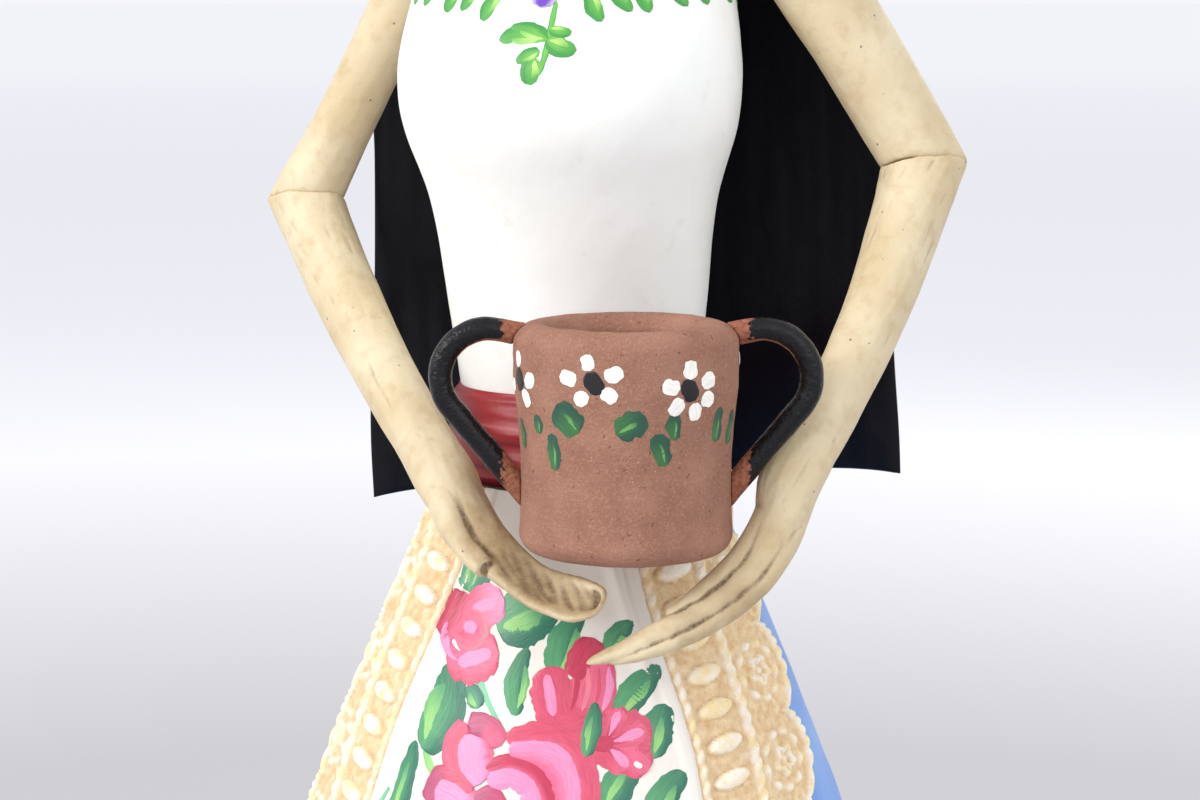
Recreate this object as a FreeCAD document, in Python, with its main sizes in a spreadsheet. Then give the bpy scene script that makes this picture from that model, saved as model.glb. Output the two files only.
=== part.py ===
import FreeCAD, Part
import Sketcher
import math
import os

# Papier-mache catrina that holds a two-handled clay mug. Millimetres, +Z up, her front faces -Y,
# her left side is +X, and the origin is the centre of the flat underside on the skirt's axis.
# Every driving size is a named cell of the sheet; right and left are hers.

SIZES = {
    "base_radius": 62, "base_height": 5,
    "skirt_top": 146, "waist_radius": 18.5, "hip_height": 99, "hip_radius": 37.6, "hem_radius": 66.5,
    "skirt_wall": 2, "core_wall": 1.2, "core_gap": 0.25,
    "apron_half_angle": 38, "apron_foot": 26, "apron_lift": 0.1, "apron_wall": 0.9,
    "lace_sweep": 34, "lace_wall": 1.6, "lace_depth": 12, "lace_gap": 0.3, "lace_foot_half_angle": 71.5,
    "torso_foot": 146, "neckline": 222, "torso_top": 236, "blouse_wall": 1.6,
    "sash_top": 159, "sash_foot_width": 18.9, "sash_foot_depth": 17.6,
    "sash_head_width": 17.9, "sash_head_depth": 15.2,
    "wire_radius": 1.2, "wire_foot": 1.5, "wire_head": 262,
    "arm_wire_radius": 0.8, "arm_wire_start": 4,
    "right_shoulder_x": -17.4, "right_shoulder_y": 0, "right_shoulder_z": 228,
    "left_shoulder_x": 22.4, "left_shoulder_y": 0, "left_shoulder_z": 230, "shoulder_radius": 5.7,
    "right_upper_arm_bow": 0, "left_upper_arm_bow": 1.2, "forearm_bow": 2,
    "right_elbow_x": -42, "right_elbow_y": 4, "right_elbow_z": 184,
    "left_elbow_x": 48, "left_elbow_y": 4, "left_elbow_z": 190,
    "right_wrist_x": -12, "right_wrist_y": -26, "right_wrist_z": 148.5,
    "left_wrist_x": 34.4, "left_wrist_y": -25.5, "left_wrist_z": 150,
    "right_arm_radius": 4.5, "left_arm_radius": 6, "right_elbow_radius": 5, "left_elbow_radius": 5.4,
    "forearm_radius": 4.3, "wrist_radius": 3.5,
    "neck_radius": 4.6, "neck_groove": 0.7, "neck_top": 257,
    "skull_height": 272, "skull_radius": 15, "skull_depth": 17, "skull_rise": 16.5, "skull_wall": 2.4,
    "face_height": 258, "face_forward": 5, "face_radius": 10.4, "face_rise": 12.4,
    "socket_radius": 4, "socket_out": 5.8, "socket_height": 267, "socket_forward": 15.4,
    "nose_radius": 1.9, "nose_height": 260.5, "nose_forward": 15.6,
    "hair_height": 272.5, "hair_back": 2.5, "hair_radius": 18.2, "hair_depth": 19.6, "hair_rise": 19,
    "hair_cap_foot": 266, "hair_wall": 2.6, "hair_slant": 5, "hairline_forward": 21, "hairline_radius": 13.6,
    "hairline_depth": 18, "hairline_rise": 18.5,
    "rose_radius": 7.3, "rose_foot_radius": 3.6, "rose_height": 9, "rose_cup": 3.4, "rose_spacing": 42,
    "rose_forward": 3.5, "rose_sink": 1.5,
    "leaf_length": 15, "leaf_width": 8, "leaf_thickness": 1.4, "leaf_back": 7.5,
    "mug_x": 14, "mug_y": -33, "mug_z": 141.5, "mug_turn": 13,
    "mug_height": 30, "mug_foot_radius": 11.6, "mug_heel_radius": 13.9, "mug_heel_height": 3,
    "mug_waist_radius": 13.7, "mug_waist_height": 11.5, "mug_belly_radius": 14.7, "mug_belly_height": 22,
    "mug_rim_radius": 14.6, "mug_lip_height": 28, "mug_mouth_radius": 8.8, "mug_floor": 4,
    "handle_radius": 1.55, "handle_turn_radius": 6.3, "handle_turn_out": 17.8, "handle_turn_height": 22.8,
    "handle_root_out": 12.6, "handle_top_height": 28.2, "handle_foot_height": 6.8,
}

# Sections of the forms that swell along their length: each row is one section, from first to last.
SECTIONS = {
    "torso": (("height", "width", "depth", "back"), (
        (146, 16.2, 14.4, 0), (158, 17, 14.2, -0.5), (170, 18.3, 15, -1.5), (182, 19.7, 16.6, -3),
        (192, 22.3, 18.8, -5), (199, 23.9, 19.6, -6), (206, 23.8, 18.8, -5.5), (214, 22.4, 16.2, -3.5),
        (222, 20.4, 12.8, -1), (229, 16.5, 10, 0.5), (233, 9.5, 7.5, 1.2), (236, 5.6, 5.4, 1.5))),
    "right_hand": (("x", "y", "z", "width", "thickness"), (
        (-4.9, -33.2, 141.6, 4.2, 2.7), (4.2, -39.6, 137.3, 3.9, 2.1), (10.4, -43, 136.4, 2.9, 1.5),
        (13.4, -44.2, 137, 1.5, 0.9))),
    "left_hand": (("x", "y", "z", "width", "thickness"), (
        (33.5, -29.2, 144, 4.1, 2.5), (28.1, -34.2, 136.4, 3.8, 2.1), (19.6, -40.6, 132, 3.3, 1.6),
        (11.6, -44, 128.2, 1.2, 0.8))),
    "hair": (("height", "middle", "half", "edge", "back"), (
        (265.7, 0, 17, 3.2, 20.9), (238, 0.5, 24.5, 9, 22), (213, 2, 36.5, 14.5, 24.5),
        (180, 2.3, 38.6, 19.5, 27), (141, 2.1, 40.3, 24, 30))),
}


def section_name(form, number):
    return f"{form}_section_{number}"


def all_cells():
    """Every named cell: the sizes, then each section's fields, such as torso_section_3_width."""
    yield from SIZES.items()
    for form, (fields, rows) in SECTIONS.items():
        for number, values in enumerate(rows):
            for field, value in zip(fields, values):
                yield f"{section_name(form, number)}_{field}", value


doc = FreeCAD.newDocument("catrina")
sheet = doc.addObject("Spreadsheet::Sheet", "sizes")
for row, (alias, value) in enumerate(all_cells(), start=1):
    sheet.set(f"A{row}", alias)
    sheet.set(f"B{row}", str(value))
    sheet.setAlias(f"B{row}", alias)
doc.recompute()

UP = FreeCAD.Vector(0, 0, 1)
exported = []


def size(alias):
    return float(getattr(sheet, alias))


def amount(expression):
    """The number that an expression over the sheet gives, such as 'sizes.mug_z + 2'."""
    return float(sheet.evalExpression(expression))


def point(prefix):
    return FreeCAD.Vector(size(prefix + "_x"), size(prefix + "_y"), size(prefix + "_z"))


def sections(form):
    """The prefixes of a form's section cells, in order."""
    return [section_name(form, number) for number in range(len(SECTIONS[form][1]))]


def keep(shape_object, label):
    """Names a finished sub-part, which is written to a file of that name."""
    shape_object.Label = label
    exported.append(shape_object)
    return shape_object


# ---------------------------------------------------------------- sketch and solid helpers

def new_body(name):
    return doc.addObject("PartDesign::Body", name)


def new_sketch(body, name, role, height=None):
    plane = [feature for feature in body.Origin.OriginFeatures if feature.Role == role][0]
    sketch = body.newObject("Sketcher::SketchObject", name)
    sketch.AttachmentSupport = [(plane, "")]
    sketch.MapMode = "FlatFace"
    if height is not None:
        sketch.setExpression(".AttachmentOffset.Base.z", height)
    return sketch


def pin_point(sketch, edge, end, spot):
    """Binds one sketch point to its two sheet expressions."""
    for kind, axis, expression in (("DistanceX", -2, spot[0]), ("DistanceY", -1, spot[1])):
        if expression == "0":
            sketch.addConstraint(Sketcher.Constraint("PointOnObject", edge, end, axis))
            continue
        index = sketch.addConstraint(Sketcher.Constraint(kind, -1, 1, edge, end, amount(expression)))
        sketch.setExpression(f"Constraints[{index}]", expression)


def outline(sketch, corners, bows=None):
    """Closed outline through the corners; bows[i] is a third point of the arc after corner i."""
    bows = bows or {}
    spots = [FreeCAD.Vector(amount(x), amount(y), 0) for x, y in corners]
    ends = []
    for i, start in enumerate(spots):
        finish = spots[(i + 1) % len(spots)]
        if i in bows:
            via = FreeCAD.Vector(amount(bows[i][0]), amount(bows[i][1]), 0)
            edge = sketch.addGeometry(Part.Arc(start, via, finish), False)
            forwards = sketch.getPoint(edge, 1).distanceToPoint(start) < 1e-6
            ends.append((edge, 1, 2) if forwards else (edge, 2, 1))
        else:
            ends.append((sketch.addGeometry(Part.LineSegment(start, finish), False), 1, 2))
    for i, (edge, first, _last) in enumerate(ends):
        before, _first, last = ends[i - 1]
        sketch.addConstraint(Sketcher.Constraint("Coincident", before, last, edge, first))
        pin_point(sketch, edge, first, corners[i])
    for i, bow in bows.items():
        mark = sketch.addGeometry(Part.Point(FreeCAD.Vector(amount(bow[0]), amount(bow[1]), 0)), True)
        sketch.addConstraint(Sketcher.Constraint("PointOnObject", mark, 1, ends[i][0]))
        pin_point(sketch, mark, 1, bow)
    return sketch


def turned(name, corners, bows=None, angle="360"):
    """Body of revolution about its own Z axis; a part turn lies evenly about +X."""
    body = new_body(name)
    sketch = outline(new_sketch(body, name + "_profile", "XZ_Plane"), corners, bows)
    turn = body.newObject("PartDesign::Revolution", name + "_turn")
    turn.Profile = sketch
    turn.ReferenceAxis = (sketch, ["V_Axis"])
    turn.setExpression("Angle", angle)
    turn.Midplane = angle != "360"
    body.Tip = turn
    return body


def ellipse(name, centre, normal, wide, major, minor):
    """An elliptical section: wide is roughly the direction of its long axis."""
    section = doc.addObject("Part::Ellipse", name)
    section.setExpression("MajorRadius", major)
    section.setExpression("MinorRadius", minor)
    side = normal.cross(wide)
    section.Placement = FreeCAD.Placement(centre, FreeCAD.Rotation(side.cross(normal), side, normal, "ZXY"))
    return section


def loft(name, sections):
    solid = doc.addObject("Part::Loft", name)
    solid.Sections = sections
    solid.Solid = True
    return solid


def ball(name, centre, rise, width, depth):
    solid = doc.addObject("Part::Ellipsoid", name)
    solid.setExpression("Radius1", rise)
    solid.setExpression("Radius2", width)
    solid.setExpression("Radius3", depth)
    solid.Placement = FreeCAD.Placement(centre, FreeCAD.Rotation())
    return solid


def rod(name, start, finish, radius):
    solid = doc.addObject("Part::Cylinder", name)
    solid.setExpression("Radius", radius)
    solid.Height = (finish - start).Length
    solid.Placement = FreeCAD.Placement(start, FreeCAD.Rotation(UP, finish - start))
    return solid


def cut(name, base, tool):
    result = doc.addObject("Part::Cut", name)
    result.Base = base
    result.Tool = tool
    return result


def fuse(name, shapes):
    result = doc.addObject("Part::MultiFuse", name)
    result.Shapes = shapes
    return result


def slab(name, foot, head):
    """A wide flat block between two heights, for dividing a form."""
    block = doc.addObject("Part::Box", name)
    for side in ("Length", "Width"):
        setattr(block, side, 200)
    block.setExpression("Height", f"{head} - ({foot})")
    block.Placement = FreeCAD.Placement(FreeCAD.Vector(-100, -100, amount(foot)), FreeCAD.Rotation())
    return block


def slice_of(name, form, block):
    result = doc.addObject("Part::Common", name)
    result.Base = form
    result.Tool = block
    return result


# ---------------------------------------------------------------- base, skirt and apron

def make_spine_wire():
    spine = rod("spine", FreeCAD.Vector(0, 0, size("wire_foot")), FreeCAD.Vector(0, 0, size("wire_head")),
                "sizes.wire_radius")
    return keep(spine, "spine_wire")


def make_base_disc(spine):
    disc = turned("base_form", [("0", "0"), ("sizes.base_radius", "0"),
                                ("sizes.base_radius", "sizes.base_height"), ("0", "sizes.base_height")])
    return keep(cut("base", disc, spine), "base_disc")


def bell(name, outer, inner, angle="360"):
    """Shell that follows the whole skirt, between two outsets from its surface."""
    def side(outset):
        return ((f"sizes.waist_radius + ({outset})", "sizes.skirt_top"),
                (f"sizes.hip_radius + ({outset})", "sizes.hip_height"),
                (f"sizes.hem_radius + ({outset})", "0"))
    outer_top, outer_hip, outer_hem = side(outer)
    inner_top, inner_hip, inner_hem = side(inner)
    return turned(name, [outer_top, outer_hem, inner_hem, inner_top],
                  {0: outer_hip, 2: inner_hip}, angle)


def make_skirt():
    keep(bell("skirt_form", "0", "-sizes.skirt_wall"), "skirt")
    outside = "-sizes.skirt_wall - sizes.core_gap"
    cone = bell("core_form", outside, f"{outside} - sizes.core_wall")
    above_base = slab("above_base", "sizes.base_height", "sizes.skirt_top")
    keep(slice_of("core_cone", cone, above_base), "skirt_core")


def panel_on_skirt(label, wall, sweep, middle, foot, head):
    """A thin piece laid on the skirt, sweep degrees wide and middle degrees round to her left."""
    form = bell(label + "_form", f"sizes.apron_lift + {wall}", "sizes.apron_lift", sweep)
    form.Placement = FreeCAD.Placement(FreeCAD.Vector(), FreeCAD.Rotation(UP, middle - 90))
    return keep(slice_of(label + "_cut", form, slab(label + "_block", foot, head)), label)


def make_apron():
    foot, head = "sizes.apron_foot", "sizes.skirt_top"
    panel_on_skirt("apron_panel", "sizes.apron_wall", "2 * sizes.apron_half_angle", 0, foot, head)
    middle = size("apron_half_angle") + size("lace_sweep") / 2
    for side, label in ((-1, "apron_lace_right"), (1, "apron_lace_left")):
        panel_on_skirt(label, "sizes.lace_wall", "sizes.lace_sweep - sizes.lace_gap", side * middle, foot, head)
    border_head = "sizes.apron_foot - sizes.lace_gap"
    panel_on_skirt("apron_lace_bottom", "sizes.lace_wall", "2 * sizes.lace_foot_half_angle", 0,
                   f"{border_head} - sizes.lace_depth", border_head)


# ---------------------------------------------------------------- torso

def torso_loft(name, inset):
    across = FreeCAD.Vector(1, 0, 0)
    rings = []
    for cells in sections("torso"):
        centre = FreeCAD.Vector(0, size(cells + "_back"), size(cells + "_height"))
        rings.append(ellipse(f"{name}_{cells}", centre, UP, across,
                             f"sizes.{cells}_width - {inset}", f"sizes.{cells}_depth - {inset}"))
    return loft(name, rings)


def make_torso(wires):
    outer = torso_loft("torso_form", "0")
    inner = torso_loft("torso_inside", "sizes.blouse_wall")
    lower = slab("below_neckline", "sizes.torso_foot - 1", "sizes.neckline")
    upper = slab("above_neckline", "sizes.neckline", "sizes.torso_top + 1")
    core_block = slab("core_block", "sizes.torso_foot - 1", "sizes.neckline - 0.2")
    wiring = fuse("wiring", wires)
    blouse_cuts = fuse("blouse_cuts", [inner, wiring])
    keep(cut("blouse_shell", slice_of("blouse_form", outer, lower), blouse_cuts), "blouse")
    keep(cut("torso_wad", slice_of("torso_wad_form", inner, core_block), wiring), "torso_core")
    keep(cut("chest_shell", slice_of("chest_form", outer, upper), wiring), "chest")
    return outer


def make_sash(torso):
    across = FreeCAD.Vector(1, 0, 0)
    foot = ellipse("sash_foot_ring", FreeCAD.Vector(0, 0, size("skirt_top")), UP, across,
                   "sizes.sash_foot_width", "sizes.sash_foot_depth")
    head = ellipse("sash_head_ring", FreeCAD.Vector(0, 0, size("sash_top")), UP, across,
                   "sizes.sash_head_width", "sizes.sash_head_depth")
    keep(cut("sash", loft("sash_form", [foot, head]), torso), "sash_band")


# ---------------------------------------------------------------- arms and hands

# which way the broad side of each hand points
HAND_WIDE = {"right": FreeCAD.Vector(0.3, 0.9, 0.35), "left": FreeCAD.Vector(-0.35, 0.45, 0.8)}


def arm_points(side):
    return [point(f"{side}_{joint}") for joint in ("shoulder", "elbow", "wrist")]


def direction(start, finish):
    return (finish - start).normalize()


def make_arm_wire(side):
    joint, elbow, wrist = arm_points(side)
    start = FreeCAD.Vector(math.copysign(size("arm_wire_start"), joint.x), joint.y, joint.z)
    stops = [start, joint, elbow, wrist]
    pieces = []
    for number in range(3):
        name = f"{side}_wire_{number}"
        pieces.append(rod(name, stops[number], stops[number + 1], "sizes.arm_wire_radius"))
        if number:
            pieces.append(ball(name + "_bend", stops[number], *["sizes.arm_wire_radius"] * 3))
    return keep(fuse(side + "_wire", pieces), "arm_wire_" + side)


def make_arm(side, torso, wire):
    joint, elbow, wrist = arm_points(side)
    down, forward = direction(joint, elbow), direction(elbow, wrist)
    outward = direction(FreeCAD.Vector(), down - forward)
    stretch = 1 / math.cos(down.getAngle(forward) / 2)
    elbow_ring = ellipse(side + "_elbow_ring", elbow, down + forward, outward,
                         f"sizes.{side}_elbow_radius * {stretch:.4f}", f"sizes.{side}_elbow_radius * 0.98")
    upper_rings = [
        ellipse(side + "_shoulder_ring", joint, down, outward,
                "sizes.shoulder_radius", "sizes.shoulder_radius * 0.98"),
        ellipse(side + "_upper_ring", (joint + elbow) * 0.5 + outward * size(side + "_upper_arm_bow"), down,
                outward, f"sizes.{side}_arm_radius", f"sizes.{side}_arm_radius * 0.95"),
        elbow_ring,
    ]
    palm = point(sections(side + "_hand")[0])
    hand_start = forward + direction(wrist, palm)
    wrist_ring = ellipse(side + "_wrist_ring", wrist, hand_start, outward,
                         "sizes.wrist_radius * 1.12", "sizes.wrist_radius")
    fore_rings = [
        elbow_ring,
        ellipse(side + "_fore_ring", (elbow + wrist) * 0.5 + outward * size("forearm_bow"), forward, outward,
                "sizes.forearm_radius * 1.04", "sizes.forearm_radius"),
        wrist_ring,
    ]
    keep(cut(side + "_upper", cut(side + "_upper_bare", loft(side + "_upper_form", upper_rings), torso), wire),
         "upper_arm_" + side)
    keep(cut(side + "_fore", loft(side + "_fore_form", fore_rings), wire), "forearm_" + side)
    make_hand(side, wrist_ring, wrist, wire)


def make_hand(side, wrist_ring, wrist, wire):
    stations = sections(side + "_hand")
    centres = [wrist] + [point(cells) for cells in stations]
    rings = [wrist_ring]
    for number, cells in enumerate(stations, start=1):
        ahead = centres[min(number + 1, len(stations))]
        rings.append(ellipse(f"{side}_hand_ring_{number}", centres[number],
                             direction(centres[number - 1], ahead), HAND_WIDE[side],
                             f"sizes.{cells}_width", f"sizes.{cells}_thickness"))
    keep(cut(side + "_hand", loft(side + "_hand_form", rings), wire), "hand_" + side)


# ---------------------------------------------------------------- neck, head and hair

def make_skull():
    cranium = ball("cranium", FreeCAD.Vector(0, 0, size("skull_height")),
                   "sizes.skull_rise", "sizes.skull_radius", "sizes.skull_depth")
    face = ball("face", FreeCAD.Vector(0, -size("face_forward"), size("face_height")),
                "sizes.face_rise", "sizes.face_radius", "sizes.face_radius")
    form = fuse("skull_form", [cranium, face])
    hollows = [ball("nose_hollow", FreeCAD.Vector(0, -size("nose_forward"), size("nose_height")),
                    "sizes.nose_radius * 1.6", "sizes.nose_radius", "sizes.nose_radius")]
    for side in (-1, 1):
        spot = FreeCAD.Vector(side * size("socket_out"), -size("socket_forward"), size("socket_height"))
        hollows.append(ball(f"socket_{side + 1}", spot, *["sizes.socket_radius"] * 3))
    inside = ball("skull_inside", FreeCAD.Vector(0, 0, size("skull_height")),
                  "sizes.skull_rise - sizes.skull_wall", "sizes.skull_radius - sizes.skull_wall",
                  "sizes.skull_depth - sizes.skull_wall")
    return form, fuse("hollows", hollows), inside


def make_head(spine):
    form, hollows, inside = make_skull()
    opened = cut("skull_faced", form, hollows)
    keep(cut("skull_wired", cut("skull_hollow", opened, inside), spine), "skull")
    keep(cut("head_wad", cut("head_wad_faced", inside, hollows), spine), "head_core")
    levels = 4
    rise = "(sizes.neck_top - sizes.torso_top) / 4"
    corners = [("0", "sizes.torso_top"), ("sizes.neck_radius", "sizes.torso_top")]
    bows = {}
    for level in range(levels):
        corners.append(("sizes.neck_radius", f"sizes.torso_top + {level + 1} * {rise}"))
        bows[level + 1] = ("sizes.neck_radius - sizes.neck_groove",
                           f"sizes.torso_top + {level + 0.5} * {rise}")
    corners.append(("0", "sizes.neck_top"))
    column = turned("neck_form", corners, bows)
    keep(cut("neck_wired", cut("neck_bare", column, form), spine), "neck")
    return form


def make_hair(skull):
    middle = FreeCAD.Vector(0, size("hair_back"), size("hair_height"))
    form = ball("hair_form", middle, "sizes.hair_rise", "sizes.hair_radius", "sizes.hair_depth")
    window = ball("hairline", FreeCAD.Vector(0, -size("hairline_forward"), size("socket_height")),
                  "sizes.hairline_rise", "sizes.hairline_radius", "sizes.hairline_depth")
    below = slab("below_hair", "sizes.hair_cap_foot - 60", "sizes.hair_cap_foot")
    keep(cut("hair_cap_form", form, fuse("hair_cuts", [skull, window, below])), "hair_cap")
    make_hair_fall()
    return form


def make_hair_fall():
    body = new_body("hair_fall_form")
    rings = []
    for cells in sections("hair"):
        sketch = new_sketch(body, cells, "XY_Plane", f"sizes.{cells}_height")
        middle, edge, back = (f"sizes.{cells}_{field}" for field in ("middle", "edge", "back"))
        right, left = f"{middle} - sizes.{cells}_half", f"{middle} + sizes.{cells}_half"
        front_edge = f"{edge} - sizes.hair_wall / 3"
        outline(sketch, [(right, edge), (right, front_edge), (left, front_edge), (left, edge)],
                {1: (middle, f"{back} - sizes.hair_wall"), 3: (middle, back)})
        rings.append(sketch)
    # the cut ends rise a little towards her left
    rings[-1].setExpression(".AttachmentOffset.Rotation.Axis.y", "1")
    rings[-1].setExpression(".AttachmentOffset.Rotation.Axis.z", "0")
    rings[-1].setExpression(".AttachmentOffset.Rotation.Angle", "-sizes.hair_slant")
    fall = body.newObject("PartDesign::AdditiveLoft", "hair_fall_loft")
    fall.Profile = rings[0]
    fall.Sections = rings[1:]
    body.Tip = fall
    keep(body, "hair_fall")


# ---------------------------------------------------------------- flowers on the head

def crown_place(angle, forward, sink):
    """Placement on the hair, at an angle round from the crown to her left, +Z pointing outwards."""
    reach = math.sqrt(1 - ((size("hair_back") + forward) / size("hair_depth")) ** 2)
    turn = math.radians(angle)
    spot = FreeCAD.Vector(math.sin(turn) * (size("hair_radius") * reach - sink), -forward,
                          size("hair_height") + math.cos(turn) * (size("hair_rise") * reach - sink))
    outward = FreeCAD.Vector(math.sin(turn), -forward / size("hair_depth"), math.cos(turn))
    return FreeCAD.Placement(spot, FreeCAD.Rotation(UP, outward))


def make_roses(hair):
    for number in range(5):
        angle = (number - 2) * size("rose_spacing")
        flower = turned(f"rose_form_{number}", [
            ("0", "0"), ("sizes.rose_foot_radius", "0"), ("sizes.rose_radius", "sizes.rose_height * 0.6"),
            ("sizes.rose_radius * 0.8", "sizes.rose_height"),
            ("0", "sizes.rose_height - sizes.rose_cup"),
        ], {1: ("sizes.rose_radius * 0.86", "sizes.rose_height * 0.22")})
        flower.Placement = crown_place(angle, size("rose_forward"), size("rose_sink"))
        keep(cut(f"rose_{number}", flower, hair), f"rose_{number + 1}")


def make_leaves(hair):
    for number in range(6):
        angle = (number - 2.5) * size("rose_spacing")
        blade = ball(f"leaf_form_{number}", FreeCAD.Vector(),
                     "sizes.leaf_length / 2", "sizes.leaf_width / 2", "sizes.leaf_thickness / 2")
        place = crown_place(angle, -size("leaf_back"), 0)
        lift = FreeCAD.Placement(FreeCAD.Vector(0, 0, size("leaf_length") / 3), FreeCAD.Rotation())
        blade.Placement = place.multiply(lift)
        keep(cut(f"leaf_{number}", blade, hair), f"leaf_{number + 1}")


# ---------------------------------------------------------------- clay mug

def mug_place(turn):
    return FreeCAD.Placement(point("mug"), FreeCAD.Rotation(UP, size("mug_turn") + turn))


def make_mug():
    body = turned("mug_form", [
        ("0", "0"), ("sizes.mug_foot_radius", "0"), ("sizes.mug_heel_radius", "sizes.mug_heel_height"),
        ("sizes.mug_belly_radius", "sizes.mug_belly_height"), ("sizes.mug_rim_radius", "sizes.mug_lip_height"),
        ("sizes.mug_mouth_radius", "sizes.mug_lip_height"), ("sizes.mug_mouth_radius", "sizes.mug_floor"),
        ("0", "sizes.mug_floor"),
    ], {
        1: ("sizes.mug_heel_radius - 0.5", "sizes.mug_heel_height * 0.3"),
        2: ("sizes.mug_waist_radius", "sizes.mug_waist_height"),
        4: ("(sizes.mug_rim_radius + sizes.mug_mouth_radius) / 2", "sizes.mug_height"),
    })
    body.Placement = mug_place(0)
    keep(body, "mug_body")
    for turn, label in ((0, "mug_handle_left"), (180, "mug_handle_right")):
        coil = make_coil(label + "_coil")
        coil.Placement = mug_place(turn)
        keep(cut(label + "_form", coil, body), label)


def tangent_point(centre, radius, spot, side):
    """Where a line from spot touches a circle; side +1 or -1 picks one of the two."""
    away = spot - centre
    spread = side * math.acos(radius / away.Length)
    heading = math.atan2(away.y, away.x) + spread
    return centre + FreeCAD.Vector(math.cos(heading), math.sin(heading), 0) * radius


def make_coil(name):
    """A round coil of clay: out from under the rim, round a tight turn, and down to the waist."""
    body = new_body(name)
    sketch = new_sketch(body, name + "_path", "XZ_Plane")
    middle = FreeCAD.Vector(size("handle_turn_out"), size("handle_turn_height"), 0)
    radius = size("handle_turn_radius")
    top = FreeCAD.Vector(size("handle_root_out"), size("handle_top_height"), 0)
    foot = FreeCAD.Vector(size("handle_root_out"), size("handle_foot_height"), 0)
    leave = tangent_point(middle, radius, top, -1)
    arrive = tangent_point(middle, radius, foot, 1)
    crest = middle + FreeCAD.Vector(radius, 0, 0)
    start_line = sketch.addGeometry(Part.LineSegment(top, leave), False)
    bend = sketch.addGeometry(Part.Arc(arrive, crest, leave), False)
    end_line = sketch.addGeometry(Part.LineSegment(arrive, foot), False)
    sketch.addConstraint(Sketcher.Constraint("Tangent", start_line, 2, bend, 2))
    sketch.addConstraint(Sketcher.Constraint("Tangent", bend, 1, end_line, 1))
    pin_point(sketch, start_line, 1, ("sizes.handle_root_out", "sizes.handle_top_height"))
    pin_point(sketch, end_line, 2, ("sizes.handle_root_out", "sizes.handle_foot_height"))
    pin_point(sketch, bend, 3, ("sizes.handle_turn_out", "sizes.handle_turn_height"))
    width = sketch.addConstraint(Sketcher.Constraint("Radius", bend, radius))
    sketch.setExpression(f"Constraints[{width}]", "sizes.handle_turn_radius")
    doc.recompute()
    ring = body.newObject("Sketcher::SketchObject", name + "_ring")
    ring.AttachmentSupport = [(sketch, "Edge1")]
    ring.MapMode = "NormalToEdge"
    circle = ring.addGeometry(Part.Circle(FreeCAD.Vector(), UP, size("handle_radius")), False)
    ring.addConstraint(Sketcher.Constraint("Coincident", circle, 3, -1, 1))
    gauge = ring.addConstraint(Sketcher.Constraint("Radius", circle, size("handle_radius")))
    ring.setExpression(f"Constraints[{gauge}]", "sizes.handle_radius")
    pipe = body.newObject("PartDesign::AdditivePipe", name + "_pipe")
    pipe.Profile = ring
    pipe.Spine = (sketch, ["Edge1", "Edge2", "Edge3"])
    body.Tip = pipe
    return body


# ---------------------------------------------------------------- assembly and export

def check_document():
    for item in doc.Objects:
        if "Invalid" in item.State or "Error" in item.State:
            raise RuntimeError(f"{item.Label} failed: {item.State}")
    for item in exported:
        if item.Shape.isNull() or not item.Shape.isValid():
            raise RuntimeError(f"{item.Label} has no valid shape")


def write_parts():
    os.makedirs("parts", exist_ok=True)
    for item in exported:
        item.Shape.exportStep(f"parts/{item.Label}.step")


spine_wire = make_spine_wire()
make_base_disc(spine_wire)
make_skirt()
make_apron()
arm_wires = {side: make_arm_wire(side) for side in ("right", "left")}
torso_form = make_torso([spine_wire, *arm_wires.values()])
make_sash(torso_form)
for side_name, arm_wire in arm_wires.items():
    make_arm(side_name, torso_form, arm_wire)
skull_form = make_head(spine_wire)
hair_form = make_hair(skull_form)
make_roses(hair_form)
make_leaves(hair_form)
make_mug()
doc.recompute()
check_document()
write_parts()
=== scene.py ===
import math
import random

import bmesh
import bpy
import numpy as np
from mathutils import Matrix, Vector, noise
from mathutils.bvhtree import BVHTree


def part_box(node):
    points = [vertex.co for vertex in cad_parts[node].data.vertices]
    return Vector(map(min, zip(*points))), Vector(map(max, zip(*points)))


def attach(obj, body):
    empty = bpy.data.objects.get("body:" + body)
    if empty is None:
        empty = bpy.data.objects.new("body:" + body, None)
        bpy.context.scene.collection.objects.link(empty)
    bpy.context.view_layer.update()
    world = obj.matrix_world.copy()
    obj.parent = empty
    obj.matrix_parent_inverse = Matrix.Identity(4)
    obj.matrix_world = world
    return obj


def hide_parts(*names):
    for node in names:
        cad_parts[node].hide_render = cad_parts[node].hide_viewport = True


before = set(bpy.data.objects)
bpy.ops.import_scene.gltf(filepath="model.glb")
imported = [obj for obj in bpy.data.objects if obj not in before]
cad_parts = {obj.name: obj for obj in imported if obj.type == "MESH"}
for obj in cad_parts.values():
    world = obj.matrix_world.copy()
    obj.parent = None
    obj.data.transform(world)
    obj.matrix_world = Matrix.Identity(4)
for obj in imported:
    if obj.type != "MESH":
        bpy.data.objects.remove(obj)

# Looks of the papier-mache catrina. Sizes and places are written in millimetres and turned into
# Blender's metres by MM. She faces -Y, her left is +X, and angles round the vertical axis are measured
# from her front towards her left. Every form is wrapped on the frame's own solids.

MM = 0.001
UP = Vector((0, 0, 1))
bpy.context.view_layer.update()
random.seed(7)


# ---------------------------------------------------------------- numbers and colours

def paint(red, green, blue):
    """Linear colour of a paint given as 0-255 values."""
    def linear(value):
        value /= 255
        return value / 12.92 if value <= 0.04045 else ((value + 0.055) / 1.055) ** 2.4
    return np.array((linear(red), linear(green), linear(blue), 1.0))


def mix(first, second, share):
    return first + (second - first) * share


def ease(value, start=0.0, finish=1.0):
    """0 before start, 1 after finish, smooth between."""
    share = min(max((value - start) / (finish - start), 0.0), 1.0)
    return share * share * (3 - 2 * share)


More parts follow.
